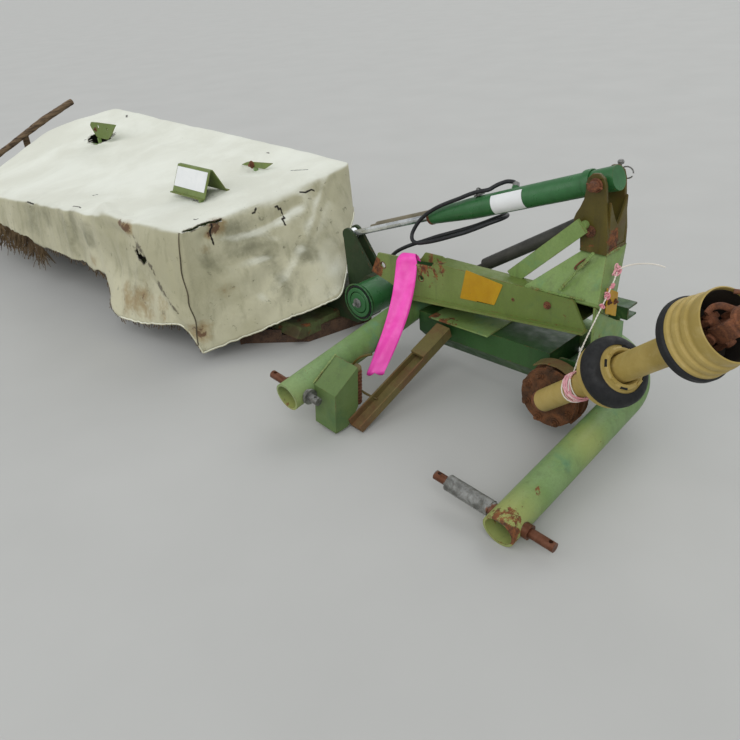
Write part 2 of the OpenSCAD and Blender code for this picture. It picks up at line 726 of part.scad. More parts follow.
sleeve_off = 73;
module ribbed_sleeve() {
    color("#6a675e") lift_line() translate([-sleeve_off, 0, lift_len - 560]) union() {
        cylinder(d = 26, h = 480);
        for (i = [0:23]) translate([0, 0, i * 20]) cylinder(d = 34, h = 10);
        translate([sleeve_off, 0, 510]) bar_x(6, -sleeve_off, -rod_d / 2 - seat_gap);
        translate([0, 0, 470]) cylinder(d = 20, h = 48);
    }
}

module guard_tube_outer() {
    color(khaki) shaft_line() translate([0, 0, bell_a - 20]) ring(guard_d2 / 2, guard_d2 / 2 - 4, bell_b - bell_a + 20);
}

module guard_bell_outer() {
    color(khaki) shaft_line() translate([0, 0, bell_b - 30]) rotate_extrude()
        polygon([[guard_d2 / 2 + seat_gap, 0], [60, 0], [ring_d / 2, 12], [ring_d / 2, 46], [82, 130], [77, 130],
            [ring_d / 2 - 12, 44], [62, 12], [guard_d2 / 2 + seat_gap, 12]]);
}

module shaft_yoke() {
    color(rust) shaft_line() translate([0, 0, bell_b]) difference() {
        union() {
            translate([0, 0, -90]) cylinder(d = 44, h = 160);
            translate([0, 0, -90]) cylinder(d = guard_d2 - 8 - 2 * seat_gap, h = 16);
            translate([0, 0, 60]) cylinder(d = 58, h = 110);
        }
        translate([0, 0, 100]) cylinder(d = stub_d, h = 80);
    }
}

hose_route = [[-716, -68, 711], [-720, -71, 715], [-724, -76, 718], [-726, -84, 721], [-723, -94, 722],
    [-716, -105, 722], [-706, -114, 719], [-693, -123, 715], [-679, -131, 709], [-664, -141, 702],
    [-655, -179, 692], [-650, -213, 678], [-648, -250, 660], [-646, -290, 642], [-644, -331, 622],
    [-641, -362, 604], [-638, -393, 582], [-633, -420, 556], [-626, -437, 530], [-616, -444, 506],
    [-606, -434, 488], [-602, -408, 484], [-604, -374, 492], [-608, -336, 504], [-612, -294, 520],
    [-616, -250, 538], [-622, -206, 556], [-634, -164, 576], [-652, -128, 594], [-678, -104, 604],
    [-706, -98, 607], [-731, -110, 604], [-746, -136, 594], [-747, -170, 578], [-736, -206, 560],
    [-716, -242, 544], [-694, -280, 530], [-672, -320, 516], [-652, -360, 502], [-636, -402, 484],
    [-626, -447, 465], [-620, -490, 444], [-616, -526, 422], [-614, -550, 400], [-614, -563, 378],
    [-614, -568, 362], [-614, -568, 350]];
function unit(v) = v / norm(v);
module tube_path(points, radii, sides) {
    n = len(points);
    frames = [for (i = [0:n - 1])
        let (t = unit(points[min(i + 1, n - 1)] - points[max(i - 1, 0)]),
             side = unit(cross(t, [0.13, 0.21, 0.97])), up = cross(side, t)) [side, up]];
    ring_points = [for (i = [0:n - 1]) for (k = [0:sides - 1])
        points[i] + radii[i] * (cos(360 * k / sides) * frames[i][0] + sin(360 * k / sides) * frames[i][1])];
    walls = [for (i = [0:n - 2]) for (k = [0:sides - 1])
        let (a = i * sides + k, b = i * sides + (k + 1) % sides)
        each [[a, a + sides, b + sides], [a, b + sides, b]]];
    first = [for (k = [0:sides - 1]) k];
    last = [for (k = [sides - 1:-1:0]) (n - 1) * sides + k];
    polyhedron(points = ring_points, faces = concat(walls, [first], [last]), convexity = 8);
}

module lift_hose() {
    color("#15161a") place() tube_path(hose_route,
        [for (i = [0:len(hose_route) - 1]) i > len(hose_route) - 4 ? hose_d / 2 + 3 : hose_d / 2], 8);
}

draft_tube();
lower_pin_right();
lower_pin_left();
spring_box();
trip_spring();
trip_strut();
main_beam();
hinge_plate();
beam_saddle();
tower();
tower_fork();
tower_stay();
relief_tube();
belt_guard();
guard_cover();
input_bearing();
slip_clutch();
shaft_joint();
guard_tube_inner();
guard_bell_inner();
channel_stub();
pivot_housing();
swing_arm();
lift_lug();
gear_bed();
skid_shoes();
inner_shoe();
outer_shoe();
cover_frame();
cover_brackets();
canvas_cover();
swath_stick();
disc(0);  // disc_1
disc(1);  // disc_2
disc(2);  // disc_3
disc(3);  // disc_4
disc(4);  // disc_5
disc(5);  // disc_6
lift_barrel();
lift_rod();
ribbed_sleeve();
guard_tube_outer();
guard_bell_outer();
shaft_yoke();
lift_hose();
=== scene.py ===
# Mounted disc mower laid down on its cutter bar, dressed for a studio picture
import math

import bmesh
import bpy
import numpy as np
from mathutils import Matrix, Vector, noise
from mathutils.geometry import tessellate_polygon


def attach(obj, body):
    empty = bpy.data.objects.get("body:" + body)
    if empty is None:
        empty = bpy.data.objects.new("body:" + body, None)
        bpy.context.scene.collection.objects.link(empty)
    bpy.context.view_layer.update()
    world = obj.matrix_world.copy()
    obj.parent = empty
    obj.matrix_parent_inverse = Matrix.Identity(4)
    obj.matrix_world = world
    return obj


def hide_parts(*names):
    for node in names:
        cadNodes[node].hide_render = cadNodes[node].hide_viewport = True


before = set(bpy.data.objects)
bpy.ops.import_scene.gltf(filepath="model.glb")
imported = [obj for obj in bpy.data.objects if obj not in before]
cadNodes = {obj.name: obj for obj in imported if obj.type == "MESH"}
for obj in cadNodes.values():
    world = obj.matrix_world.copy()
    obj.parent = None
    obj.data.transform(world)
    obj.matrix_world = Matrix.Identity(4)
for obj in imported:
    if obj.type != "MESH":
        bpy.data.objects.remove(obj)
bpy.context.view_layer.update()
scene = bpy.context.scene
machineShift = Vector((0.5213, 1.3824, 0.0))  # the machine's own zero in the shared frame
noise.seed_set(1795780720)  # noise_vector would start from the clock otherwise

# Places
def spot(x, y, z):
    return Vector((x, y, z)) / 1000 + machineShift


def axes(origin, *turns):  # millimetres in a turned set of axes, to metres in the shared frame
    place = Matrix.Translation(spot(*origin))
    for angle, axis in turns:
        place = place @ Matrix.Rotation(math.radians(angle), 4, axis)
    return place @ Matrix.Scale(0.001, 4)


def towardsX(place):  # a turned piece with its axis along x
    return Matrix.Translation(place) @ Matrix.Rotation(math.pi / 2, 4, "Y")


machineAxes = axes((0, 0, 0))
headAxes = axes((0, 0, 103.135), (-6, "X"))
shaftAxes = axes((-405, 250, 160), (72.45, "Z"), (49.8, "Y"))
liftDrop = math.degrees(math.atan2(788 - 415, 270 + 830))
liftLength = math.hypot(788 - 415, 270 + 830)
liftAxes = axes((-680, 270, 788), (liftDrop, "X"), (90, "X"))
onFace = Matrix(((0, 0, 1, 0), (1, 0, 0, 0), (0, 1, 0, 0), (0, 0, 0, 1)))  # outlines in y and z, thick along x
onBack = Matrix(((1, 0, 0, 0), (0, 0, -1, 0), (0, 1, 0, 0), (0, 0, 0, 1)))  # outlines in x and z, thick against y
onSide = Matrix(((1, 0, 0, 0), (0, 0, 1, 0), (0, 1, 0, 0), (0, 0, 0, 1)))  # outlines in x and z, thick along y

# Camera
photoView = {"place": (1.8053, 2.6884, 1.413), "right": (-0.70022, 0.71028, -0.07216),
             "up": (-0.39564, -0.30192, 0.86737), "back": (0.59428, 0.63589, 0.49242), "width": 36.0, "pixels": 740}
lens = bpy.data.cameras.new("photoCamera")
lens.sensor_width = photoView["width"]
lens.lens = photoView["width"]
lens.clip_start, lens.clip_end = 0.05, 100
camera = bpy.data.objects.new("photoCamera", lens)
turn = Matrix((photoView["right"], photoView["up"], photoView["back"])).transposed()
camera.matrix_world = Matrix.Translation(photoView["place"]) @ turn.to_4x4()
scene.collection.objects.link(camera)
scene.camera = camera
print("camera set")


# Node helpers
def hue(code):  # the colour as it is seen, turned linear
    parts = [int(code[k:k + 2], 16) / 255 for k in (1, 3, 5)]
    return tuple(((p + 0.055) / 1.055) ** 2.4 if p > 0.04045 else p / 12.92 for p in parts) + (1.0,)


class Wiring:  # short words for building a shader tree
    def __init__(self, tree):
        self.tree = tree

    def node(self, kind, **settings):
        made = self.tree.nodes.new(kind)
        for key, value in settings.items():
            setattr(made, key, value)
        return made

    def feed(self, target, value):
        if isinstance(value, bpy.types.NodeSocket):
            self.tree.links.new(value, target)
        elif value is not None:
            target.default_value = value

    def sum(self, kind, a, b=None, clamp=False):
        made = self.node("ShaderNodeMath", operation=kind, use_clamp=clamp)
        self.feed(made.inputs[0], a)
        self.feed(made.inputs[1], b)
        return made.outputs[0]

    def span(self, value, low, high, start=0.0, end=1.0):
        made = self.node("ShaderNodeMapRange", interpolation_type="SMOOTHSTEP")
        for index, given in enumerate((value, low, high, start, end)):
            self.feed(made.inputs[index], given)
        return made.outputs[0]

    def grain(self, vector, scale, detail=5.0, rough=0.6, warp=0.0):
        made = self.node("ShaderNodeTexNoise")
        self.feed(made.inputs["Vector"], vector)
        self.feed(made.inputs["Scale"], scale)
        made.inputs["Detail"].default_value = detail
        made.inputs["Roughness"].default_value = rough
        made.inputs["Distortion"].default_value = warp
        return made.outputs["Fac"]

    def stretch(self, vector, scale):
        made = self.node("ShaderNodeMapping")
        self.feed(made.inputs["Vector"], vector)
        made.inputs["Scale"].default_value = scale
        return made.outputs["Vector"]

    def tint(self, amount, a, b):
        made = self.node("ShaderNodeMix", data_type="RGBA")
        self.feed(made.inputs[0], amount)
        self.feed(made.inputs[6], a)
        self.feed(made.inputs[7], b)
        return made.outputs[2]

    def group(self, tree, **values):
        made = self.node("ShaderNodeGroup", node_tree=tree)
        for key, value in values.items():
            self.feed(made.inputs[key], value)
        return made.outputs[0]


def sharedEffect(name, output, build, **inputs):
    tree = bpy.data.node_groups.new(name, "ShaderNodeTree")
    tree.interface.new_socket("Vector", in_out="INPUT", socket_type="NodeSocketVector")
    for label, value in inputs.items():
        tree.interface.new_socket(label, in_out="INPUT", socket_type="NodeSocketFloat").default_value = value
    tree.interface.new_socket(output, in_out="OUTPUT", socket_type="NodeSocketFloat")
    wires = Wiring(tree)
    start, end = wires.node("NodeGroupInput"), wires.node("NodeGroupOutput")
    wires.feed(end.inputs[0], build(wires, start.outputs))
    return tree


def patchMask(w, s):  # soft islands that cover about the given share of the surface
    field = w.sum("ADD", w.sum("MULTIPLY", w.grain(s["Vector"], s["Size"], 8, 0.62, 0.4), 0.8),
                  w.sum("MULTIPLY", w.grain(s["Vector"], w.sum("MULTIPLY", s["Size"], 6.3), 4, 0.7), 0.2))
    edge = w.sum("SUBTRACT", 0.72, w.sum("MULTIPLY", s["Cover"], 0.44))
    return w.span(field, edge, w.sum("ADD", edge, s["Softness"]))


def edgeMask(w, s):  # rubbed edges, broken up by a grain
    soft = w.node("ShaderNodeBevel", samples=4)
    w.feed(soft.inputs["Radius"], s["Width"])
    bare = w.node("ShaderNodeNewGeometry")
    turnAway = w.node("ShaderNodeVectorMath", operation="DOT_PRODUCT")
    w.feed(turnAway.inputs[0], soft.outputs[0])
    w.feed(turnAway.inputs[1], bare.outputs["Normal"])
    rubbed = w.span(w.sum("SUBTRACT", 1.0, turnAway.outputs["Value"]), 0.01, 0.16)
    return w.sum("MULTIPLY", rubbed, w.span(w.grain(s["Vector"], s["Break"], 6, 0.7), 0.42, 0.6))


def fleckMask(w, s):  # small chips and spots
    cells = w.node("ShaderNodeTexVoronoi", feature="F1")
    w.feed(cells.inputs["Vector"], s["Vector"])
    w.feed(cells.inputs["Scale"], s["Size"])
    cells.inputs["Randomness"].default_value = 1.0
    near = w.span(cells.outputs["Distance"], 0.05, 0.22, 1.0, 0.0)
    return w.sum("MULTIPLY", near, w.span(w.grain(s["Vector"], w.sum("MULTIPLY", s["Size"], 0.23), 3, 0.6),
                                          w.sum("SUBTRACT", 0.74, s["Cover"]), 0.76))


def runMask(w, s):  # dirt that has run down the sides
    return w.span(w.grain(w.stretch(s["Vector"], (38, 38, 3.2)), 1.0, 5, 0.62), 0.5, 0.78)


def weaveHeight(w, s):  # plain weave on the cloth's own measure
    parts = w.node("ShaderNodeSeparateXYZ")
    w.feed(parts.inputs[0], s["Vector"])
    waves = [w.sum("SINE", w.sum("MULTIPLY", parts.outputs[k], s["Threads"])) for k in (0, 1)]
    return w.sum("MULTIPLY_ADD", w.sum("MULTIPLY", waves[0], waves[1]), 0.5)


patches = sharedEffect("patches", "Mask", patchMask, Size=8.0, Cover=0.4, Softness=0.1)
edgeWear = sharedEffect("edgeWear", "Mask", edgeMask, Width=0.005, Break=30.0)
flecks = sharedEffect("flecks", "Mask", fleckMask, Size=60.0, Cover=0.2)
runs = sharedEffect("runs", "Mask", runMask)
weave = sharedEffect("weave", "Height", weaveHeight, Threads=2800.0)


def newFinish(name):
    made = bpy.data.materials.new(name)
    made.use_nodes = True
    made.node_tree.nodes.clear()
    w = Wiring(made.node_tree)
    shader, out = w.node("ShaderNodeBsdfPrincipled"), w.node("ShaderNodeOutputMaterial")
    w.feed(out.inputs["Surface"], shader.outputs[0])
    return made, w, shader, w.node("ShaderNodeTexCoord").outputs["Object"]


def relief(w, shader, height, depth):
    made = w.node("ShaderNodeBump")
    made.inputs["Strength"].default_value = 1.0
    made.inputs["Distance"].default_value = depth
    w.feed(made.inputs["Height"], height)
    w.feed(shader.inputs["Normal"], made.outputs[0])


def nearSpots(w, place, spots):  # grows towards given points of the machine: x, y, z, reach, strength
    total = None
    for x, y, z, reach, strength in spots:
        away = w.node("ShaderNodeVectorMath", operation="DISTANCE")
        w.feed(away.inputs[0], place)
        away.inputs[1].default_value = spot(x, y, z)
        near = w.span(away.outputs["Value"], 0.0, reach / 1000, strength, 0.0)
        total = near if total is None else w.sum("MAXIMUM", total, near)
    return total


def weatheredPaint(name, look):
    made, w, shader, place = newFinish(name)
    tone = w.span(w.grain(place, look.get("toneSize", 3.5), 4, 0.55, 0.3), 0.36, 0.66)
    colour = w.tint(tone, hue(look["paint"]), hue(look["faded"]))
    fine = w.grain(place, 140, 4, 0.7)
    colour = w.tint(w.span(fine, 0.3, 0.75, 0.0, 0.22), colour, hue(look["dirt"]))
    if "stain" in look:
        stain = w.group(patches, Vector=place, Size=7.0, Cover=look["stainCover"], Softness=0.16)
        colour = w.tint(w.sum("MULTIPLY", stain, look.get("stainDepth", 0.7)), colour, hue(look["stain"]))
    if "pale" in look:
        colour = w.tint(w.sum("MULTIPLY", nearSpots(w, place, look["pale"]), 0.75), colour, hue("#a3a45a"))
    run = w.group(runs, Vector=place)
    colour = w.tint(w.sum("MULTIPLY", run, 0.35), colour, hue(look["dirt"]))
    cover = look.get("rustCover", 0.1)
    if "spots" in look:
        cover = w.sum("ADD", nearSpots(w, place, look["spots"]), cover)
    rust = w.group(patches, Vector=place, Size=16.0, Cover=cover, Softness=0.05)
    rubbed = w.group(edgeWear, Vector=place, Width=0.004, Break=26.0)
    chips = w.group(flecks, Vector=place, Size=75.0, Cover=look.get("chips", 0.16))
    rust = w.sum("MAXIMUM", rust, w.sum("MAXIMUM", w.sum("MULTIPLY", rubbed, look.get("edgeDepth", 0.85)), chips))
    rustTone = w.tint(w.span(w.grain(place, 55, 6, 0.7), 0.35, 0.65), hue("#4f3424"), hue("#8a5530"))
    colour = w.tint(rust, colour, rustTone)
    w.feed(shader.inputs["Base Color"], colour)
    gloss = w.span(w.grain(place, 24, 4, 0.6), 0.3, 0.7, look.get("rough", 0.5) - 0.1, look.get("rough", 0.5) + 0.14)
    w.feed(shader.inputs["Roughness"], w.sum("ADD", gloss, w.sum("MULTIPLY", rust, 0.4), clamp=True))
    shader.inputs["Specular IOR Level"].default_value = look.get("shine", 0.4)
    skin = w.sum("SUBTRACT", w.sum("MULTIPLY", w.grain(place, 70, 5, 0.6), 0.5), w.sum("MULTIPLY", rust, 0.45))
    pits = w.sum("MULTIPLY", w.sum("MULTIPLY", w.grain(place, 330, 4, 0.7), rust), 0.7)
    relief(w, shader, w.sum("ADD", skin, pits), look.get("depth", 0.0012))
    return made


def bareSteel(name, look):
    made, w, shader, place = newFinish(name)
    tone = w.grain(place, look.get("size", 30.0), 8, 0.68, 0.5)
    colour = w.tint(w.span(tone, 0.32, 0.68), hue(look["dark"]), hue(look["light"]))
    speck = w.span(w.grain(place, 190, 4, 0.75), 0.45, 0.72)
    colour = w.tint(w.sum("MULTIPLY", speck, look.get("speck", 0.5)), colour, hue(look["spot"]))
    if "spots" in look:
        rust = w.group(patches, Vector=place, Size=24.0, Cover=nearSpots(w, place, look["spots"]), Softness=0.12)
        colour = w.tint(rust, colour, w.tint(tone, hue("#4a2f22"), hue("#7d4c31")))
    w.feed(shader.inputs["Base Color"], colour)
    clean = w.span(tone, 0.4, 0.62, look.get("metal", 0.1), look.get("metal", 0.1) * 0.4)
    w.feed(shader.inputs["Metallic"], clean)
    w.feed(shader.inputs["Roughness"], w.span(w.grain(place, 60, 5, 0.65), 0.3, 0.7, look["smooth"], look["coarse"]))
    relief(w, shader, w.sum("ADD", w.sum("MULTIPLY", tone, 0.5), w.sum("MULTIPLY", speck, -0.3)),
           look.get("depth", 0.0012))
    return made


def moulded(name, look):  # rubber and plastic
    made, w, shader, place = newFinish(name)
    tone = w.span(w.grain(place, look.get("size", 9.0), 6, 0.6, 0.2), 0.34, 0.68)
    colour = w.tint(tone, hue(look["base"]), hue(look["worn"]))
    dust = w.group(patches, Vector=place, Size=22.0, Cover=look.get("dustCover", 0.4),
                   Softness=0.22)
    colour = w.tint(w.sum("MULTIPLY", dust, look.get("dustDepth", 0.35)), colour, hue(look["dust"]))
    chips = w.group(flecks, Vector=place, Size=90.0, Cover=look.get("chips", 0.1))
    colour = w.tint(w.sum("MULTIPLY", chips, 0.7), colour, hue(look.get("chip", "#3a3226")))
    w.feed(shader.inputs["Base Color"], colour)
    w.feed(shader.inputs["Roughness"], w.span(w.grain(place, 45, 5, 0.6), 0.3, 0.7, look["smooth"], look["coarse"]))
    relief(w, shader, w.grain(place, look.get("pore", 260.0), 4, 0.65), look.get("depth", 0.0004))
    return made


greens = {"dirt": "#4d5238", "stain": "#4f8a6c"}
lightGreen = weatheredPaint("lightGreenPaint", greens | {
    "paint": "#76914d", "faded": "#8aa263", "stainCover": 0.46, "stainDepth": 0.5, "rustCover": 0.06,
    "rough": 0.46, "spots": [(-530, -220, 250, 90, 0.6), (-560, -300, 245, 80, 0.6),
                             (-540, -260, 440, 120, 0.5), (-600, 300, 340, 90, 0.4)]})
tubeGreen = weatheredPaint("tubeGreenPaint", greens | {
    "paint": "#668749", "faded": "#839e69", "stain": "#4c8064", "stainCover": 0.44, "stainDepth": 0.65,
    "rustCover": 0.06, "chips": 0.22, "toneSize": 2.4, "rough": 0.46,
    "pale": [(40, 430, 70, 190, 1.0), (40, -430, 90, 130, 1.0), (-330, 470, 150, 120, 0.7)],
    "spots": [(60, 432, 70, 135, 0.62), (60, -432, 90, 90, 0.5), (-100, 440, 110, 90, 0.35)]})
boxGreen = weatheredPaint("boxGreenPaint", greens | {
    "paint": "#546d38", "faded": "#667d48", "stain": "#42643e", "stainCover": 0.5, "stainDepth": 0.6, "rustCover": 0.1,
    "rough": 0.5, "spots": [(-100, -382, -140, 60, 0.7)]})
# very dark green paint for the swing arm and the lift lug
nearBlackGreen = weatheredPaint("nearBlackGreenPaint", {
    "paint": "#21331a", "faded": "#2d4124", "dirt": "#1c1d14", "stain": "#3b3020", "stainCover": 0.55,
    "stainDepth": 0.7, "rustCover": 0.18, "rough": 0.6})
beamGreen = weatheredPaint("beamGreenPaint", greens | {
    "paint": "#677a38", "faded": "#798a4a", "stain": "#56703f", "stainCover": 0.4, "stainDepth": 0.5,
    "rustCover": 0.08, "rough": 0.5, "spots": [(-540, -575, 380, 110, 0.75), (-540, -330, 370, 70, 0.5),
                                               (-545, -300, 450, 120, 0.6), (-530, 220, 380, 90, 0.5)]})
darkGreen = weatheredPaint("darkGreenPaint", {
    "paint": "#234a20", "faded": "#34592a", "dirt": "#29301c", "stain": "#54703a", "stainCover": 0.36,
    "rustCover": 0.12, "chips": 0.2, "rough": 0.48})
brightGreen = weatheredPaint("brightGreenPaint", {
    "paint": "#2a6433", "faded": "#3c7644", "dirt": "#203f22", "stain": "#1d4e25", "stainCover": 0.4,
    "stainDepth": 0.5, "rustCover": -0.1, "chips": 0.08, "rough": 0.34, "shine": 0.5, "edgeDepth": 0.3,
    "depth": 0.0006})
olivePaint = weatheredPaint("olivePaint", {
    "paint": "#4a4112", "faded": "#5f5416", "dirt": "#352c16", "stain": "#553b22", "stainCover": 0.52,
    "stainDepth": 0.75, "rustCover": 0.2, "rough": 0.5, "spots": [(-660, 285, 610, 110, 0.55)]})
strutBrown = weatheredPaint("strutPaint", {
    "paint": "#6b6236", "faded": "#7c6c42", "dirt": "#3f3524", "stain": "#6a4a30", "stainCover": 0.6,
    "stainDepth": 0.8, "rustCover": 0.25, "rough": 0.6})
bedPaint = weatheredPaint("bedPaint", {
    "paint": "#56683a", "faded": "#6b7548", "dirt": "#2f2a1e", "stain": "#4a3a28", "stainCover": 0.7,
    "stainDepth": 0.85, "rustCover": 0.35, "rough": 0.62})
rusty = bareSteel("rustySteel", {"dark": "#4a2f22", "light": "#7d4c31", "spot": "#a3683c", "smooth": 0.7,
                                 "coarse": 0.95})
orangeRust = bareSteel("orangeRust", {"dark": "#45301e", "light": "#835330", "spot": "#33241a", "smooth": 0.75,
                                      "coarse": 0.98, "size": 18.0, "depth": 0.002})
greySteel = bareSteel("greySteel", {"dark": "#6c6c68", "light": "#9a9b99", "spot": "#5b4636", "smooth": 0.35,
                                    "coarse": 0.6, "metal": 0.75, "speck": 0.35, "depth": 0.0006})
chromed = bareSteel("chromedRod", {"dark": "#b9bcbe", "light": "#d6d9da", "spot": "#9a9c9b", "smooth": 0.1,
                                   "coarse": 0.2, "metal": 1.0, "speck": 0.02, "size": 5.0, "depth": 0.00002})
skidSteel = bareSteel("skidSteel", {"dark": "#3a2c24", "light": "#5d4534", "spot": "#7a5a40", "smooth": 0.6,
                                    "coarse": 0.9, "metal": 0.2})
khaki = moulded("khakiPlastic", {"base": "#a08a45", "worn": "#b39c58", "dust": "#cdbd8c", "smooth": 0.42,
                                 "coarse": 0.66, "dustCover": 0.45})
ringRubber = moulded("ringRubber", {"base": "#07080a", "worn": "#0f1115", "dust": "#2b2a28", "smooth": 0.55,
                                    "coarse": 0.8, "dustCover": 0.3, "dustDepth": 0.25})
hoseRubber = moulded("hoseRubber", {"base": "#101114", "worn": "#1c1e22", "dust": "#5a564c", "smooth": 0.42,
                                    "coarse": 0.7, "dustCover": 0.25, "dustDepth": 0.2})
sleeveGrey = moulded("sleevePaint", {"base": "#3b3a37", "worn": "#4c4a45", "dust": "#6f6757", "smooth": 0.45,
                                     "coarse": 0.75, "chips": 0.16, "chip": "#7a5a40"})
ribbedGrey = moulded("ribbedPlastic", {"base": "#6d6654", "worn": "#7f7762", "dust": "#a39a80", "smooth": 0.55,
                                       "coarse": 0.85})
yellowSheet = moulded("yellowSheet", {"base": "#b08200", "worn": "#bf950c", "dust": "#7d6620", "smooth": 0.35,
                                      "coarse": 0.6, "chips": 0.24, "chip": "#5b4a2a"})
paleLabel = moulded("paleLabel", {"base": "#e4e6e6", "worn": "#eff0ef", "dust": "#c6c8c8", "smooth": 0.3,
                                  "coarse": 0.45, "chips": 0.0, "dustCover": 0.2})
pinSteel = {"dark": "#63645f", "light": "#8f908d", "spot": "#5b4636", "smooth": 0.35, "coarse": 0.6, "metal": 0.7,
            "speck": 0.4, "depth": 0.0006}
pinLeft = bareSteel("pinLeftSteel", pinSteel | {
    "spots": [(14, 392, 78, 44, 1.5), (13, 545, 48, 130, 1.7), (11, 196, 92, 44, 1.4)]})
pinRight = bareSteel("pinRightSteel", pinSteel | {"spots": [(12, -560, 148, 190, 1.5)]})
darkLiner = moulded("darkBellLiner", {"base": "#1d1812", "worn": "#33291d", "dust": "#5a4a30", "smooth": 0.7,
                               "coarse": 0.95})
# painted shadow: the binding is dark brown to stand for the shadow beside the seam
seamShadow = moulded("seamShadowLine", {"base": "#4b4434", "worn": "#6b634e", "dust": "#8d8468", "smooth": 0.8,
                                   "coarse": 0.95})
straw = moulded("strawBrown", {"base": "#463623", "worn": "#6f5b3d", "dust": "#8f7d58", "smooth": 0.8,
                               "coarse": 0.95})
stringWhite = moulded("stringWhite", {"base": "#d9d2c6", "worn": "#efe9de", "dust": "#b7a995", "smooth": 0.8,
                                      "coarse": 0.95, "chips": 0.0, "pore": 900.0})
stringPink = moulded("stringPink", {"base": "#d98a96", "worn": "#e8b3b8", "dust": "#c79a8e", "smooth": 0.8,
                                    "coarse": 0.95, "chips": 0.0, "pore": 900.0})
ribbonPink = moulded("ribbonPink", {"base": "#f03bb0", "worn": "#ff55c4", "dust": "#d92f9a", "smooth": 0.35,
                                    "coarse": 0.55, "chips": 0.0, "size": 14.0, "dustCover": 0.3})
print("finishes built:", len(bpy.data.materials))


def barkFinish():
    made, w, shader, place = newFinish("weatheredWood")
    along = w.stretch(place, (6, 40, 40))
    fibre = w.grain(along, 1.6, 8, 0.68, 0.6)
    colour = w.tint(w.span(fibre, 0.35, 0.62), hue("#3d2f22"), hue("#7d6850"))
    colour = w.tint(w.group(patches, Vector=place, Size=7.0, Cover=0.3, Softness=0.2), colour, hue("#6d6f46"))
    w.feed(shader.inputs["Base Color"], colour)
    shader.inputs["Roughness"].default_value = 0.9
    relief(w, shader, fibre, 0.004)
    return made


wood = barkFinish()


# Mesh helpers
def settle(name, bm, finish, body, place=machineAxes, bevel=0.0, mend=True):
    if mend:
        bmesh.ops.remove_doubles(bm, verts=bm.verts, dist=0.0005)
        bmesh.ops.recalc_face_normals(bm, faces=bm.faces)
    bmesh.ops.transform(bm, matrix=place, verts=bm.verts)
    mesh = bpy.data.meshes.new(name)
    bm.to_mesh(mesh)
    bm.free()
    mesh.shade_smooth()
    mesh.set_sharp_from_angle(angle=math.radians(32))
    piece = bpy.data.objects.new(name, mesh)
    scene.collection.objects.link(piece)
    mesh.materials.append(finish)
    if bevel:
        soft = piece.modifiers.new("softEdge", "BEVEL")
        soft.width = bevel / 1000
        soft.segments = 2
        soft.limit_method = "ANGLE"
        soft.angle_limit = math.radians(38)
    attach(piece, body)
    return piece


def addPlate(bm, outline, thick, base=0.0, holes=(), place=None):
    loops = [[Vector((p[0], p[1], 0)) for p in loop] for loop in (outline, *holes)]
    flat = [p for loop in loops for p in loop]
    low = [bm.verts.new((p.x, p.y, base)) for p in flat]
    high = [bm.verts.new((p.x, p.y, base + thick)) for p in flat]
    for a, b, c in tessellate_polygon(loops):
        bm.faces.new((low[c], low[b], low[a]))
        bm.faces.new((high[a], high[b], high[c]))
    start = 0
    for loop in loops:
        for k in range(len(loop)):
            a, b = start + k, start + (k + 1) % len(loop)
            bm.faces.new((low[a], low[b], high[b], high[a]))
        start += len(loop)
    if place is not None:
        bmesh.ops.transform(bm, matrix=place, verts=low + high)
    return low + high


def addBox(bm, low, high, place=None):
    return addPlate(bm, [(low[0], low[1]), (high[0], low[1]), (high[0], high[1]), (low[0], high[1])],
                    high[2] - low[2], low[2], place=place)


def circle(x, y, r):
    return [(x + r * math.cos(2 * math.pi * k / 24), y + r * math.sin(2 * math.pi * k / 24)) for k in range(24)]


def rounded(points, radius):  # the outline with its corners rounded
    result, steps = [], 4
    for k, here in enumerate(points):
        p, a, b = Vector(here), Vector(points[k - 1]), Vector(points[(k + 1) % len(points)])
        reach = min(radius, (a - p).length * 0.45, (b - p).length * 0.45)
        first, last = p + (a - p).normalized() * reach, p + (b - p).normalized() * reach
        for step in range(steps + 1):
            t = step / steps
            q = first * (1 - t) ** 2 + p * 2 * t * (1 - t) + last * t * t
            result.append((q.x, q.y))
    return result


def addLathe(bm, profile, steps=48, closed=True, place=None):
    rings = [[bm.verts.new((r * math.cos(2 * math.pi * k / steps), r * math.sin(2 * math.pi * k / steps), z))
              for k in range(steps)] for r, z in profile]
    for i in range(len(rings) if closed else len(rings) - 1):
        a, b = rings[i], rings[(i + 1) % len(rings)]
        for k in range(steps):
            n = (k + 1) % steps
            bm.faces.new((a[k], a[n], b[n], b[k]))
    made = [v for r in rings for v in r]
    if place is not None:
        bmesh.ops.transform(bm, matrix=place, verts=made)
    return made


def turnPart(name, finish, body, profile, steps, closed=True, place=None, on=machineAxes, bevel=0.0):
    bm = bmesh.new()
    addLathe(bm, profile, steps, closed, place)
    return settle(name, bm, finish, body, on, bevel)


def ringPoints(count, total):  # angles round a circle
    return [k / total * 2 * math.pi for k in range(count)]


def addTube(bm, points, radius, sides=10, flat=1.0):
    points = [Vector(p) for p in points]
    side, rings = None, []
    for i, p in enumerate(points):
        ahead = (points[min(i + 1, len(points) - 1)] - points[max(i - 1, 0)]).normalized()
        if side is None:
            side = ahead.orthogonal().normalized()
        side = (side - ahead * side.dot(ahead)).normalized()
        up = ahead.cross(side)
        r = radius(i / (len(points) - 1)) if callable(radius) else radius
        rings.append([bm.verts.new(p + side * r * math.cos(2 * math.pi * k / sides)
                                   + up * r * flat * math.sin(2 * math.pi * k / sides)) for k in range(sides)])
    for a, b in zip(rings, rings[1:]):
        for k in range(sides):
            n = (k + 1) % sides
            bm.faces.new((a[k], a[n], b[n], b[k]))
    bm.faces.new(list(reversed(rings[0])))
    bm.faces.new(rings[-1])
    return rings


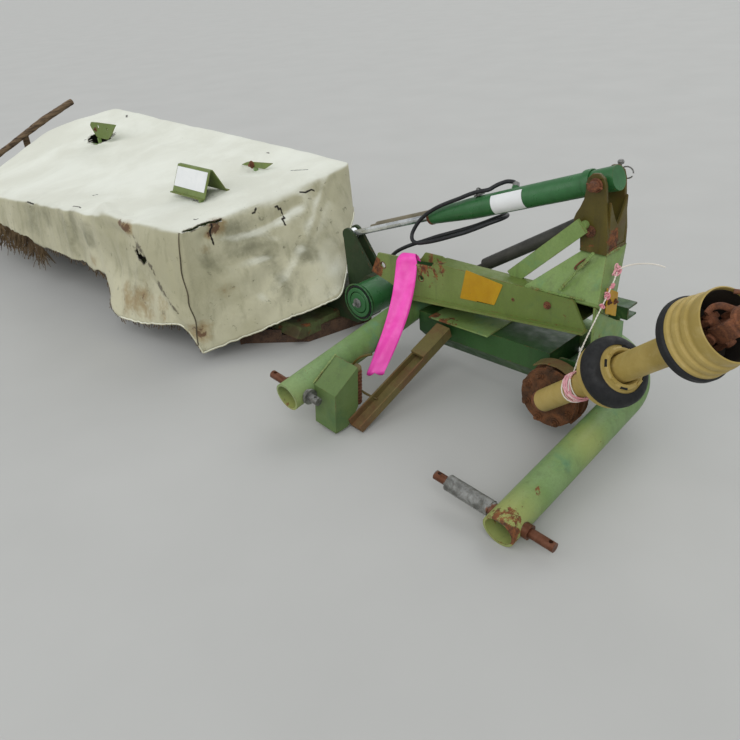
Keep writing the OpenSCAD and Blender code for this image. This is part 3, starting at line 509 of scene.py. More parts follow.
def smoothPath(points, between=4):  # a soft curve through the points
    points = [Vector(p) for p in points]
    result = []
    for i in range(len(points) - 1):
        a, b = points[max(i - 1, 0)], points[i]
        c, d = points[i + 1], points[min(i + 2, len(points) - 1)]
        for step in range(between):
            t = step / between
            result.append(0.5 * ((2 * b) + (c - a) * t + (2 * a - 5 * b + 4 * c - d) * t * t
                                 + (3 * b - a - 3 * c + d) * t ** 3))
    return result + [points[-1]]


# Repeats by geometry nodes
def growTree(name, build, **inputs):
    tree = bpy.data.node_groups.new(name, "GeometryNodeTree")
    tree.interface.new_socket("Geometry", in_out="INPUT", socket_type="NodeSocketGeometry")
    tree.interface.new_socket("Finish", in_out="INPUT", socket_type="NodeSocketMaterial")
    for label, value in inputs.items():
        kind = "NodeSocketInt" if isinstance(value, int) else "NodeSocketFloat"
        tree.interface.new_socket(label, in_out="INPUT", socket_type=kind).default_value = value
    tree.interface.new_socket("Geometry", in_out="OUTPUT", socket_type="NodeSocketGeometry")
    w = Wiring(tree)
    given, out = w.node("NodeGroupInput").outputs, w.node("NodeGroupOutput").inputs
    solid = w.node("GeometryNodeRealizeInstances")
    w.feed(solid.inputs[0], build(w, given))
    coat = w.node("GeometryNodeSetMaterial")
    w.feed(coat.inputs["Geometry"], solid.outputs[0])
    w.feed(coat.inputs["Material"], given["Finish"])
    w.feed(out[0], coat.outputs[0])
    return tree


def ownValue(w, name, kind="FLOAT"):  # a named attribute of the seed points
    made = w.node("GeometryNodeInputNamedAttribute", data_type=kind)
    made.inputs["Name"].default_value = name
    return made.outputs[0]


def onPoints(w, given, shape, turn=None, size=None):
    put = w.node("GeometryNodeInstanceOnPoints")
    w.feed(put.inputs["Points"], given["Geometry"])
    w.feed(put.inputs["Instance"], shape)
    w.feed(put.inputs["Rotation"], turn)
    w.feed(put.inputs["Scale"], size)
    return put.outputs[0]


def faced(w):  # the turn that brings a shape's z to its point's facing
    aim = w.node("FunctionNodeAlignRotationToVector", axis="Z")
    w.feed(aim.inputs["Vector"], ownValue(w, "facing", "FLOAT_VECTOR"))
    return aim.outputs[0]


def randomSize(w, low, high, seed):
    size = w.node("FunctionNodeRandomValue", data_type="FLOAT")
    size.inputs[2].default_value, size.inputs[3].default_value = low, high
    w.feed(size.inputs["Seed"], seed)
    return size.outputs[1]


def ringCurve(w, radius, sides):
    ring = w.node("GeometryNodeCurvePrimitiveCircle")
    ring.inputs["Resolution"].default_value = sides
    w.feed(ring.inputs["Radius"], radius)
    return ring.outputs[0]


def swept(w, curve, profile, capped=False):
    body = w.node("GeometryNodeCurveToMesh")
    w.feed(body.inputs["Curve"], curve)
    w.feed(body.inputs["Profile Curve"], profile)
    body.inputs["Fill Caps"].default_value = capped
    return body.outputs[0]


def grow(name, tree, seedMesh, body, crease=40, **values):
    piece = bpy.data.objects.new(name, seedMesh)
    scene.collection.objects.link(piece)
    maker = piece.modifiers.new("grow", "NODES")
    maker.node_group = tree
    for item in tree.interface.items_tree:
        if item.in_out == "INPUT" and item.name in values:
            maker[item.identifier] = values[item.name]
    grown = bpy.data.meshes.new_from_object(piece.evaluated_get(bpy.context.evaluated_depsgraph_get()))
    piece.modifiers.remove(maker)
    piece.data = grown
    grown.name = name
    grown.shade_smooth()
    grown.set_sharp_from_angle(angle=math.radians(crease))
    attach(piece, body)
    return piece


def seedPoints(name, points, facings, sizes=None):
    mesh = bpy.data.meshes.new(name)
    mesh.from_pydata([tuple(p) for p in points], [], [])
    facing = mesh.attributes.new("facing", "FLOAT_VECTOR", "POINT")
    facing.data.foreach_set("vector", [c for f in facings for c in f])
    size = mesh.attributes.new("size", "FLOAT", "POINT")
    size.data.foreach_set("value", sizes or [1.0] * len(points))
    return mesh


def boltShape(w, given):  # washer, hexagon head and the end of the thread
    join = w.node("GeometryNodeJoinGeometry")
    for sides, radius, height, rise in ((20, given["Washer"], 0.003, 0.0), (6, given["Head"], given["Height"], 0.003),
                                        (12, given["Thread"], 0.005, 0.013)):
        bit = w.node("GeometryNodeMeshCylinder")
        bit.inputs["Vertices"].default_value = sides
        w.feed(bit.inputs["Radius"], radius)
        w.feed(bit.inputs["Depth"], height)
        lift = w.node("GeometryNodeTransform")
        w.feed(lift.inputs["Geometry"], bit.outputs["Mesh"])
        lift.inputs["Translation"].default_value = (0, 0, rise + 0.0015)
        w.feed(join.inputs[0], lift.outputs[0])
    return onPoints(w, given, join.outputs[0], faced(w), ownValue(w, "size"))


def beadShape(w, given):
    ball = w.node("GeometryNodeMeshIcoSphere")
    w.feed(ball.inputs["Radius"], given["Bead"])
    ball.inputs["Subdivisions"].default_value = 1
    return onPoints(w, given, ball.outputs["Mesh"], size=randomSize(w, 0.7, 1.25, 4))


def coilShape(w, given):
    coil = w.node("GeometryNodeCurveSpiral")
    coil.inputs["Resolution"].default_value = 28
    for label, value in (("Rotations", "Turns"), ("Start Radius", "Radius"), ("End Radius", "Radius"),
                         ("Height", "Height")):
        w.feed(coil.inputs[label], given[value])
    return swept(w, coil.outputs[0], ringCurve(w, given["Wire"], 12), capped=True)


def ringShape(w, given):
    body = swept(w, ringCurve(w, given["Radius"], 24), ringCurve(w, given["Bead"], 8))
    return onPoints(w, given, body, faced(w))


def strawShape(w, given):  # leaning straws of random length that wander a little
    line = w.node("GeometryNodeCurvePrimitiveLine")
    line.inputs["Start"].default_value = (0, 0, 0.004)
    line.inputs["End"].default_value = (0, 0, -1)
    finer = w.node("GeometryNodeResampleCurve")
    w.feed(finer.inputs["Curve"], line.outputs[0])
    finer.inputs["Count"].default_value = 6
    lean = w.node("FunctionNodeRandomValue", data_type="FLOAT_VECTOR")
    lean.inputs[0].default_value, lean.inputs[1].default_value = (-0.5, -0.5, 0), (0.5, 0.5, 6.28)
    w.feed(lean.inputs["Seed"], given["Seed"])
    reach = w.sum("MULTIPLY", w.sum("MULTIPLY", randomSize(w, 0.3, 1.0, given["Seed"]), ownValue(w, "size")),
                  given["Length"])
    loose = w.node("GeometryNodeRealizeInstances")
    w.feed(loose.inputs[0], onPoints(w, given, finer.outputs[0], lean.outputs[0], reach))
    wander = w.node("ShaderNodeTexNoise")
    w.feed(wander.inputs["Vector"], w.node("GeometryNodeInputPosition").outputs[0])
    wander.inputs["Scale"].default_value = 45
    centre = w.node("ShaderNodeVectorMath", operation="SUBTRACT")
    w.feed(centre.inputs[0], wander.outputs["Color"])
    centre.inputs[1].default_value = (0.5, 0.5, 0.5)
    shorter = w.node("ShaderNodeVectorMath", operation="SCALE")
    w.feed(shorter.inputs[0], centre.outputs[0])
    shorter.inputs["Scale"].default_value = 0.02
    move = w.node("GeometryNodeSetPosition")
    w.feed(move.inputs["Geometry"], loose.outputs[0])
    w.feed(move.inputs["Offset"], shorter.outputs[0])
    return swept(w, move.outputs[0], ringCurve(w, given["Thread"], 3))


boltTree = growTree("bolts", boltShape, Head=0.011, Height=0.008, Washer=0.016, Thread=0.006)
beadTree = growTree("weldBeads", beadShape, Bead=0.004)
coilTree = growTree("coils", coilShape, Turns=8.0, Radius=0.02, Height=0.1, Wire=0.005)
ringTree = growTree("rings", ringShape, Radius=0.017, Bead=0.004)
fringeTree = growTree("fringe", strawShape, Length=0.05, Thread=0.0008, Seed=3)


def boltsOn(name, spots, facing, body, place=machineAxes, finish=None, **sizes):
    turned = (place.to_3x3() @ Vector(facing)).normalized()
    seeds = seedPoints(name + "Seeds", [place @ Vector(s[:3]) for s in spots], [turned] * len(spots),
                       [s[3] if len(s) > 3 else 1.0 for s in spots])
    return grow(name, boltTree, seeds, body, Finish=finish or rusty, **sizes)


def weldAlong(name, points, bead, body, finish, place=machineAxes):
    points = [place @ Vector(p) for p in points]
    line = []
    for a, b in zip(points, points[1:]):
        count = max(2, int((b - a).length / (bead * 0.9 / 1000)))
        line += [a.lerp(b, k / count) for k in range(count)]
    return grow(name, beadTree, seedPoints(name + "Seeds", line, [(0, 0, 1)] * len(line)), body,
                Finish=finish, Bead=bead / 1000)


# Lift hose
hose = {"width": 14.0, "sides": 14, "ferrule": 46.0, "route": [
    (-716, -68, 711), (-720, -71, 715), (-724, -76, 718), (-726, -84, 721), (-723, -94, 722),
    (-716, -105, 722), (-706, -114, 719), (-693, -123, 715), (-679, -131, 709), (-664, -141, 702),
    (-655, -179, 692), (-650, -213, 678), (-648, -250, 660), (-646, -290, 642), (-644, -331, 622),
    (-641, -362, 604), (-638, -393, 582), (-633, -420, 556), (-626, -437, 530), (-616, -444, 506),
    (-606, -434, 488), (-602, -408, 484), (-604, -374, 492), (-608, -336, 504), (-612, -294, 520),
    (-616, -250, 538), (-622, -206, 556), (-634, -164, 576), (-652, -128, 594), (-678, -104, 604),
    (-706, -98, 607), (-731, -110, 604), (-746, -136, 594), (-747, -170, 578), (-736, -206, 560),
    (-716, -242, 544), (-694, -280, 530), (-672, -320, 516), (-652, -360, 502), (-636, -402, 484),
    (-626, -447, 465), (-620, -490, 444), (-616, -526, 422), (-614, -550, 400), (-614, -563, 378),
    (-614, -568, 362), (-614, -568, 350)]}


def makeHose():
    path = smoothPath(hose["route"], 3)
    bm = bmesh.new()
    addTube(bm, path, hose["width"] / 2, hose["sides"])
    piece = settle("liftHose", bm, hoseRubber, "lift_cylinder_barrel")
    bm = bmesh.new()
    for part in (path[:7], path[-8:]):
        addTube(bm, part, hose["width"] / 2 + 3, 16)
    for a, b in ((path[0], path[1]), (path[-1], path[-2])):
        ahead = (b - a).normalized()
        addTube(bm, [a - ahead * 2, a + ahead * 12], 12.5, 6)
    ends = settle("hoseFittings", bm, greySteel, "lift_cylinder_barrel", bevel=0.8)
    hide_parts("lift_hose")
    return piece


makeHose()
print("hose laid")

# String tied from the tower to the shaft
string = {
    "thick": 4.5, "lay": 22.0,
    "route": [(-632, 352, 543), (-604, 358, 520), (-560, 364, 492), (-500, 371, 455), (-440, 378, 418),
              (-395, 384, 388), (-372, 389, 366), (-358, 388, 340)],
    "loose": [(-632, 352, 545), (-648, 364, 553), (-668, 380, 557), (-690, 396, 556), (-712, 412, 552),
              (-732, 428, 545), (-750, 442, 535)],
    # knots: middle, reach, turns and seed
    "knots": [((-632, 352, 543), 15, 7, 1.0), ((-588, 361, 509), 9, 5, 2.0), ((-560, 364, 492), 9, 5, 6.0),
              ((-530, 368, 473), 8, 4, 3.0)],
    "tangles": [("pinkTangle", stringPink, 4.0, 9), ("paleTangle", stringWhite, 9.0, 4)], "onShaft": 216, "round": 39.5}


def twist(bm, path):  # two strands laid round each other
    for phase in (0, math.pi):
        strand, run, side = [], 0.0, None
        for i, p in enumerate(path):
            ahead = (path[min(i + 1, len(path) - 1)] - path[max(i - 1, 0)]).normalized()
            side = ahead.orthogonal().normalized() if side is None else (side - ahead * side.dot(ahead)).normalized()
            up = ahead.cross(side)
            if i:
                run += (p - path[i - 1]).length
            angle = phase + run / string["lay"] * 2 * math.pi
            strand.append(p + (side * math.cos(angle) + up * math.sin(angle)) * string["thick"] * 0.26)
        addTube(bm, strand, string["thick"] * 0.3, 6)


def makeString():
    bm = bmesh.new()
    twist(bm, smoothPath(string["route"], 14))
    settle("tieString", bm, stringWhite, "headstock", mend=False)
    path = smoothPath(string["loose"], 10)
    bm = bmesh.new()
    addTube(bm, path, string["thick"] / 2, 8)
    tail = settle("stringTail", bm, stringWhite, "headstock")
    bm = bmesh.new()
    for centre, reach, turns, seed in string["knots"]:
        loops = []
        for k in range(turns * 9):
            a = k / 9 * 2 * math.pi
            tilt = noise.noise_vector(Vector((seed, k * 0.11, 0)))
            swing = Vector((math.cos(a) * 0.8, math.sin(a) * 0.5, math.sin(a * 0.7 + seed)))
            loops.append(Vector(centre) + swing * reach * 0.7 + tilt * reach)
        addTube(bm, smoothPath(loops, 3), 2.2, 6)
    settle("stringKnots", bm, stringPink, "headstock", mend=False)
    for name, finish, seed, turns in string["tangles"]:
        bm = bmesh.new()
        loops = []
        for k in range(turns * 10):
            a = k / 10 * 2 * math.pi
            drift = noise.noise_vector(Vector((seed, k * 0.13, 2)))
            r = string["round"] + 7 * abs(drift.x)
            along = string["onShaft"] + 30 * drift.y + 12 * math.sin(a * 1.3 + seed)
            loops.append(Vector((r * math.cos(a), r * math.sin(a), along)))
        addTube(bm, smoothPath(loops, 2), 2.0, 6)
        settle(name, bm, finish, "headstock", shaftAxes, mend=False)


makeString()
print("string tied")

# Canvas cover
cover = {
    "rows": [[(-42, -20, 56), (-62, 0, 555), (-935, -30, 622), (-905, -50, 430)],
             [(-22, 48, 176), (-60, 48, 552), (-938, 48, 624), (-914, 48, 415)],
             [(-8, 130, 158), (-56, 130, 547), (-944, 130, 625), (-931, 130, 387)],
             [(14, 300, 112), (-48, 300, 536), (-955, 300, 627), (-965, 300, 330)],
             [(44, 520, 96), (-44, 520, 522), (-970, 520, 630), (-985, 520, 320)],
             [(-30, 690, 236), (-40, 690, 512), (-985, 690, 632), (-1000, 690, 310)],
             [(-20, 1200, 246), (-42, 1200, 464), (-1025, 1200, 634), (-1040, 1200, 310)],
             [(-22, 1880, 262), (-48, 1880, 402), (-1075, 1880, 642), (-1085, 1880, 320)],
             [(-30, 2350, 262), (-50, 2360, 352), (-1100, 2340, 650), (-1085, 2350, 330)]],
    "tuck": [0, -4, -10, -22, -43, -4, 0, 0, 0], "waist": 0.58, "flap": [(-560, -300, 186), (-500, 0, 584)],
    "bulge": [(-650, 2450, 300), (-680, 2460, 592)],
    "along": 176, "across": 76, "down": 36, "cell": 0.0136, "soften": 14, "thick": 2.4, "lowest": 4,
    # folds: points of the line in the photograph, height and width in millimetres
    "folds": [([(331, 174), (320, 206), (305, 252), (292, 278), (276, 303)], 5, 14),
              ([(300, 240), (284, 262), (262, 292)], -8, 34), ([(304, 248), (270, 254), (228, 262)], -7, 24),
              ([(224, 270), (246, 290), (268, 306)], 6, 18), ([(232, 246), (262, 240), (300, 250)], 6, 26),
              ([(172, 262), (180, 292), (188, 320)], -7, 20),
              ([(206, 236), (236, 232), (262, 226), (300, 206)], -9, 22), ([(104, 204), (124, 228)], 16, 30),
              ([(118, 238), (122, 280), (124, 312)], 7, 22),
              ([(270, 262), (238, 280), (206, 300)], 5, 26), ([(250, 300), (225, 312), (206, 328)], -4, 22),
              ([(60, 200), (66, 230), (70, 248)], 6, 22), ([(30, 200), (34, 225), (38, 240)], -6, 26),
              ([(86, 206), (90, 236), (96, 262)], -7, 26), ([(240, 190), (170, 190), (110, 182)], 4, 50),
              ([(140, 120), (160, 150), (150, 185)], 4, 60), ([(135, 236), (133, 268), (130, 300)], -6, 20)],
    # laps: upper layer's edge in the photograph, from top to bottom, and how far it stands off
    "laps": [([(131, 229), (139, 246), (151, 265), (165, 293), (185, 322)], 24, 34)],
    "dents": [(-715, -1480, 105, 21), (-715, -2950, 100, 12)],
    # tears and closed slits: points of the line in the photograph, half width
    "tears": [([(135, 254), (139, 258), (142, 261)], 17), ([(186, 229), (202, 226), (222, 220)], 6)],
    "slits": [([(213, 223), (212, 234), (214, 244)], 6), ([(277, 205), (283, 212), (286, 225)], 5),
              ([(292, 168), (309, 167)], 4), ([(303, 192), (317, 190)], 5), ([(27, 199), (31, 204)], 5),
              ([(125, 113), (127, 114)], 9), ([(267, 151), (269, 151)], 6), ([(255, 212), (258, 210)], 4),
              ([(92, 193), (98, 192)], 4), ([(72, 204), (80, 205)], 3.5), ([(194, 217), (199, 216)], 4)],
    # openings round the plates, in millimetres
    "cuts": [([(-318, -1345, 568), (-330, -1400, 566)], 12)], "plateCuts": [([(94, 135), (100, 138), (107, 135)], 54)],
    # stains and painted shade: point of the photograph, reach in millimetres, strength. The brown marks left of the lap
    # also paint the shade of the recess there, and the grey marks give mottling that is partly painted shade on the
    # walls
    "brown": [(123, 227, 60, 1.1), (118, 222, 40, 0.9), (216, 226, 55, 1.1), (210, 236, 34, 0.9),
              (140, 302, 130, 0.72), (125, 296, 110, 0.66), (165, 310, 90, 0.6), (198, 334, 70, 0.95),
              (232, 292, 110, 0.4), (92, 262, 60, 0.6), (270, 280, 90, 0.35), (60, 240, 50, 0.4),
              (205, 250, 40, 0.6)],
    "grey": [(240, 236, 170, 0.9), (212, 262, 110, 0.9), (222, 280, 120, 0.7), (262, 250, 110, 0.7),
             (286, 286, 110, 0.7), (140, 290, 150, 0.8), (30, 220, 200, 0.7), (70, 236, 150, 0.8),
             (46, 214, 120, 0.7), (88, 240, 100, 0.8), (305, 250, 80, 0.8), (330, 230, 120, 0.5),
             (184, 300, 70, 0.5), (100, 225, 100, 0.5)]}


def photoView2d(points):  # where points of the machine, in millimetres, fall in the photograph, and how far off
    away = np.asarray(points) / 1000 + np.array(machineShift) - np.array(photoView["place"])
    right, up, back = (away @ np.array(photoView[k]) for k in ("right", "up", "back"))
    size = photoView["pixels"]
    return size / 2 - size * right / back, size / 2 + size * up / back, -back


def underPhoto(points, line):  # the cloth that the photograph's points lie on, traced along each line
    u, v, far = photoView2d(points)
    traced = []
    for a, b in zip(line, line[1:] + line[-1:]):
        for t in (0, 0.25, 0.5, 0.75) if a != b else (0,):
            off = np.hypot(u - a[0] - t * (b[0] - a[0]), v - a[1] - t * (b[1] - a[1]))
            traced.append(points[np.argmin(far + np.where(off < max(3.0, off.min() + 0.5), 0, 1000))])
    return traced


def nearLine(points, line):  # distance of many points from a bent line
    best = np.full(len(points), 1e9)
    for a, b in zip(line, line[1:]):
        a, b = np.array(a, float), np.array(b, float)
        t = np.clip((points - a) @ (b - a) / max(1e-9, (b - a) @ (b - a)), 0, 1)
        best = np.minimum(best, np.linalg.norm(points - a - t[:, None] * (b - a), axis=1))
    return best


def coverGrid():
    def place(p):
        return np.array((p[0], -1100 - p[1], p[2]), float)

    rows = np.array([[place(p) for p in row] for row in cover["rows"]])
    flap, bulge = [place(p) for p in cover["flap"]], [place(p) for p in cover["bulge"]]
    na, nc = cover["along"], cover["across"]
    run = np.r_[0, np.cumsum(np.linalg.norm(np.diff(rows[:, 1], axis=0), axis=1))]
    run /= run[-1]

    def line(marks, points, count, ease):
        t = np.linspace(0, 1, count + 1)
        made = np.stack([np.interp(t, marks, np.array(points)[:, k]) for k in range(3)], 1)
        for _ in range(ease):
            made[1:-1] = (made[:-2] + 2 * made[1:-1] + made[2:]) / 4
        return made

    edges = {"front": (line(run, rows[:, 1], na, 60), line(run, rows[:, 0], na, 5)),
             "rear": (line(run, rows[:, 2], na, 60), line(run, rows[:, 3], na, 20)),
             "inner": (line([0, 0.5, 1], [rows[0, 1], flap[1], rows[0, 2]], nc, 30),
                       line([0, 0.6, 1], [rows[0, 0], flap[0], rows[0, 3]], nc, 6)),
             "outer": (line([0, 0.6, 1], [rows[-1, 1], bulge[1], rows[-1, 2]], nc, 40),
                       line([0, 0.6, 1], [rows[-1, 0], bulge[0], rows[-1, 3]], nc, 40))}
    u, v = np.linspace(0, 1, na + 1)[:, None, None], np.linspace(0, 1, nc + 1)[None, :, None]
    front, rear, inner, outer = (edges[k][0] for k in ("front", "rear", "inner", "outer"))
    top = ((1 - v) * front[:, None] + v * rear[:, None]
           + (1 - u) ** 6 * (inner[None] - (1 - v) * front[0] - v * rear[0])
           + u ** 9 * (outer[None] - (1 - v) * front[-1] - v * rear[-1]))
    u, v = u[..., 0], v[..., 0]
    sag = np.sin(np.pi * np.clip(v / 0.72, 0, 1)) * 12 + np.sin(np.pi * np.clip((v - 0.72) / 0.28, 0, 1)) * 7
    top[..., 2] -= sag * np.clip(np.abs(u - 0.085) * 12, 0.25, 1) * np.sin(np.pi * u) ** 0.4
    return edges, top, line(run, [(t, 0, 0) for t in cover["tuck"]], na, 4)


def coverMesh():
    edges, top, tuck = coverGrid()
    na, nc, nd = cover["along"], cover["across"], cover["down"]
    places, measure, kind, faces = [], [], [], []

    def add(p, uv, code, k):
        places.append(p)
        measure.append(uv)
        kind.append((code, k))
        return len(places) - 1

    step = cover["cell"]
    grid = [[add(top[i, j], (i * step, j * step), 0, 0.0) for j in range(nc + 1)] for i in range(na + 1)]
    walls = {}

    def wall(name, rim, code, count, first=None, last=None, offset=(0, 0)):
        edge, hem = edges[name]
        columns = []
        for i in range(count + 1):
            if i == 0 and first is not None:
                columns.append(first)
                continue
            if i == count and last is not None:
                columns.append(last)
                continue
            column = [rim(i)]
            for k in range(1, nd + 1):
                t = k / nd
                place = edge[i] * (1 - t) + hem[i] * t
                if name == "front":
                    place = place + min(t / cover["waist"], (1 - t) / (1 - cover["waist"])) * tuck[i]
                column.append(add(place, (offset[0] + i * step, offset[1] + k * step), code, t))
            columns.append(column)
        walls[name] = columns
        return columns

    front = wall("front", lambda i: grid[i][0], 1, na, offset=(0, 3))
    rear = wall("rear", lambda i: grid[i][nc], 2, na, offset=(0, 6))
    wall("inner", lambda j: grid[0][j], 3, nc, front[0], rear[0], offset=(5, 3))
    wall("outer", lambda j: grid[na][j], 4, nc, front[na], rear[na], offset=(5, 6))
    for i in range(na):
        for j in range(nc):
            faces.append((grid[i][j], grid[i + 1][j], grid[i + 1][j + 1], grid[i][j + 1]))
    for name, turned in (("front", True), ("rear", False), ("inner", False), ("outer", True)):
        for a, b in zip(walls[name], walls[name][1:]):
            for k in range(nd):
                quad = (a[k], a[k + 1], b[k + 1], b[k])
                faces.append(quad if turned else tuple(reversed(quad)))
    return np.array(places), np.array(measure), np.array(kind), [tuple(reversed(f)) for f in faces], walls


def shapeCover(places, kind, faces):
    links = {tuple(sorted((f[k], f[(k + 1) % 4]))) for f in faces for k in range(4)}
    links = np.array(sorted(links))
    hem = kind[:, 1] >= 0.999
    degree = np.bincount(links.ravel(), minlength=len(places))[:, None]

    def soften(values, times):
        for _ in range(times):
            total = np.zeros_like(values)
            np.add.at(total, links[:, 0], values[links[:, 1]])
            np.add.at(total, links[:, 1], values[links[:, 0]])
            values = np.where(hem[:, None], values, 0.5 * values + 0.5 * total / degree)
        return values

    def outward(values):
        quads = np.array(faces)
        across = np.cross(values[quads[:, 2]] - values[quads[:, 0]], values[quads[:, 3]] - values[quads[:, 1]])
        total = np.zeros_like(values)
        for k in range(4):
            np.add.at(total, quads[:, k], across)
        return total / np.maximum(1e-9, np.linalg.norm(total, axis=1))[:, None]

    places = soften(places, cover["soften"])
    normal = outward(places)
    lift = np.zeros(len(places))
    depth, top = kind[:, 1], kind[:, 0] == 0
    for i, p in enumerate(places):
        q = Vector(p) / 1000
        broad = noise.fractal(q * 3.4 + Vector((3, 1, 7)), 1.0, 2.1, 3)
        fine = noise.fractal(q * 15 + Vector((1, 5, 2)), 0.9, 2.0, 3)
        if top[i]:
            lift[i] = broad * 4.5 + fine * 1.0
            lift[i] += 3.0 * noise.noise(Vector((q.x * 9 + q.y * 2, q.y * 2.2 - q.x * 2, 4)))
        else:
            hang = noise.noise(Vector((q.x * 7.5, q.y * 7.5, q.z * 1.1))) + 0.5 * noise.noise(
                Vector((q.x * 17, q.y * 17, q.z * 2 + 3)))
            lift[i] = broad * 9 + fine * 1.8 + hang * (3 + 15 * depth[i]) * (0.35 if kind[i, 0] == 3 else 1)
    for line, height, width in cover["folds"]:
        away = nearLine(places, underPhoto(places, line))
        lift += height * np.exp(-(away / width) ** 2)
        lift -= 0.35 * height * np.exp(-((away - 1.6 * width) / width) ** 2)
    u, v, _ = photoView2d(places)
    for line, height, reach in cover["laps"]:
        beside = u - np.interp(v, [p[1] for p in line], [p[0] for p in line])
        ends = np.clip((v - line[0][1]) / 22, 0, 1) * np.clip((line[-1][1] + 8 - v) / 8, 0, 1)
        step = np.clip(beside / 3.2 + 0.5, 0, 1) * np.exp(-(np.maximum(beside, 0) / reach) ** 2)
        lift += np.where(kind[:, 0] == 1, height * step * ends, 0)
    for x, y, reach, depth in cover["dents"]:
        lift -= np.where(top, depth * np.exp(-((places[:, 0] - x) ** 2 + (places[:, 1] - y) ** 2) / reach ** 2), 0)
    places = places + normal * lift[:, None]
    rim = np.flatnonzero(hem)
    for i in rim:  # the hem is worn and frayed
        q = Vector(places[i]) / 1000
        rag = noise.noise(q * 30) * 4 + noise.noise(q * 90) * 3 + noise.noise(q * 7) * 8
        if kind[i, 0] in (1, 4) and places[i, 1] < -1620:
            rag *= 1.8
        places[i, 2] += rag if places[i, 2] > 70 else abs(rag) * 0.6
    places = soften(places, 1)
    places[:, 2] = np.maximum(places[:, 2], cover["lowest"])
    return places


def frayAndShadeDepth(where, torn, slits):  # how worn and dirty the cloth is beside tears, with painted shade in the closed slits and a dark line along the lap's edge that is painted shadow together with dirt
    depth = np.zeros(len(where))
    ragged = 0.75 + 0.5 * np.abs(np.sin(where[:, 1] * 0.21 + where[:, 2] * 0.33))
    for line, width in slits:
        depth = np.maximum(depth, np.clip(2.3 - nearLine(where, line) / (width * 0.34 + 1.6) * ragged, 0, 2))
    for line, width in torn:
        depth = np.maximum(depth, np.clip(2.0 - nearLine(where, line) / (width * 0.8 + 3), 0, 1))
    u, v, _ = photoView2d(where)
    # the lap's edge: a dark line that is painted shadow together with dirt
    for line, _, _ in cover["laps"]:
        beside = np.abs(u - np.interp(v, [p[1] for p in line], [p[0] for p in line]) + 1.2)
        inside = (v > line[0][1] + 4) & (v < line[-1][1]) & (where[:, 0] > -200)
        dark = np.clip(1.5 - beside / 2.6, 0, 1.5) * (0.8 + 0.2 * np.sin(v * 0.31))
        depth = np.maximum(depth, np.where(inside, dark, 0))
    return depth


def makeCover():
    places, measure, kind, faces, walls = coverMesh()
    places = shapeCover(places, kind, faces)
    bm = bmesh.new()
    uv = bm.loops.layers.uv.new("clothMap")
    points = [bm.verts.new(p) for p in places]
    for f in faces:
        face = bm.faces.new([points[k] for k in f])
        face.smooth = True
        for loop, k in zip(face.loops, f):
            loop[uv].uv = measure[k]
    torn = [(underPhoto(places, line), width) for line, width in cover["tears"] + cover["plateCuts"]] + cover["cuts"]
    # slits are not cut open: they are painted dark as the shade inside them
    slits = [(underPhoto(places, line), -width) for line, width in cover["slits"]]
    for line, width in torn + slits:  # finer cloth round each tear, then the hole
        for cuts, reach in ((1, abs(width) + 26), (1, abs(width) + 14)):
            centres = np.array([f.calc_center_median() for f in bm.faces])
            near = nearLine(centres, line) < reach
            marked = {e for f, hit in zip(bm.faces, near) if hit for e in f.edges}
            bmesh.ops.subdivide_edges(bm, edges=list(marked), cuts=cuts, use_grid_fill=True)
        centres = np.array([f.calc_center_median() for f in bm.faces])
        away = nearLine(centres, line)
        gone = [f for f, d, c in zip(bm.faces, away, centres)
                if d < width * (0.8 + 0.55 * noise.noise(Vector(c) * 0.045))]
        bmesh.ops.delete(bm, geom=gone, context="FACES")
    bmesh.ops.delete(bm, geom=[v for v in bm.verts if not v.link_faces], context="VERTS")
    area = sum(f.calc_area() for f in bm.faces) / 1e6
    bmesh.ops.transform(bm, matrix=machineAxes, verts=bm.verts)
    mesh = bpy.data.meshes.new("canvasSheet")
    bm.to_mesh(mesh)
    bm.free()
    where = np.zeros(len(mesh.vertices) * 3)
    mesh.vertices.foreach_get("co", where)
    where = (where.reshape(-1, 3) - np.array(machineShift)) * 1000
    depths = {name: np.zeros(len(where)) for name in ("brown", "grey")}
    for name, depth in depths.items():
        for u, v, reach, strength in cover[name]:
            away = np.linalg.norm(where - underPhoto(places, [(u, v)])[0], axis=1) / reach
            np.maximum(depth, strength * np.clip(1.25 - away, 0, 1), out=depth)
    depths["frayAndShade"] = frayAndShadeDepth(where, torn, [(line, -width) for line, width in slits])
    for name, depth in depths.items():
        mark = mesh.attributes.new(name, "FLOAT", "POINT")
        mark.data.foreach_set("value", depth.astype(np.float32))
    piece = bpy.data.objects.new("canvasSheet", mesh)
    scene.collection.objects.link(piece)
    mesh.materials.append(canvas)
    mesh.materials.append(canvasShadeInside)
    wallThick = piece.modifiers.new("clothThickness", "SOLIDIFY")
    wallThick.thickness = cover["thick"] / 1000
    wallThick.offset = -1
    wallThick.material_offset = 1
    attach(piece, "cutterbar")
    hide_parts("canvas_cover")
    return piece, area, places, walls


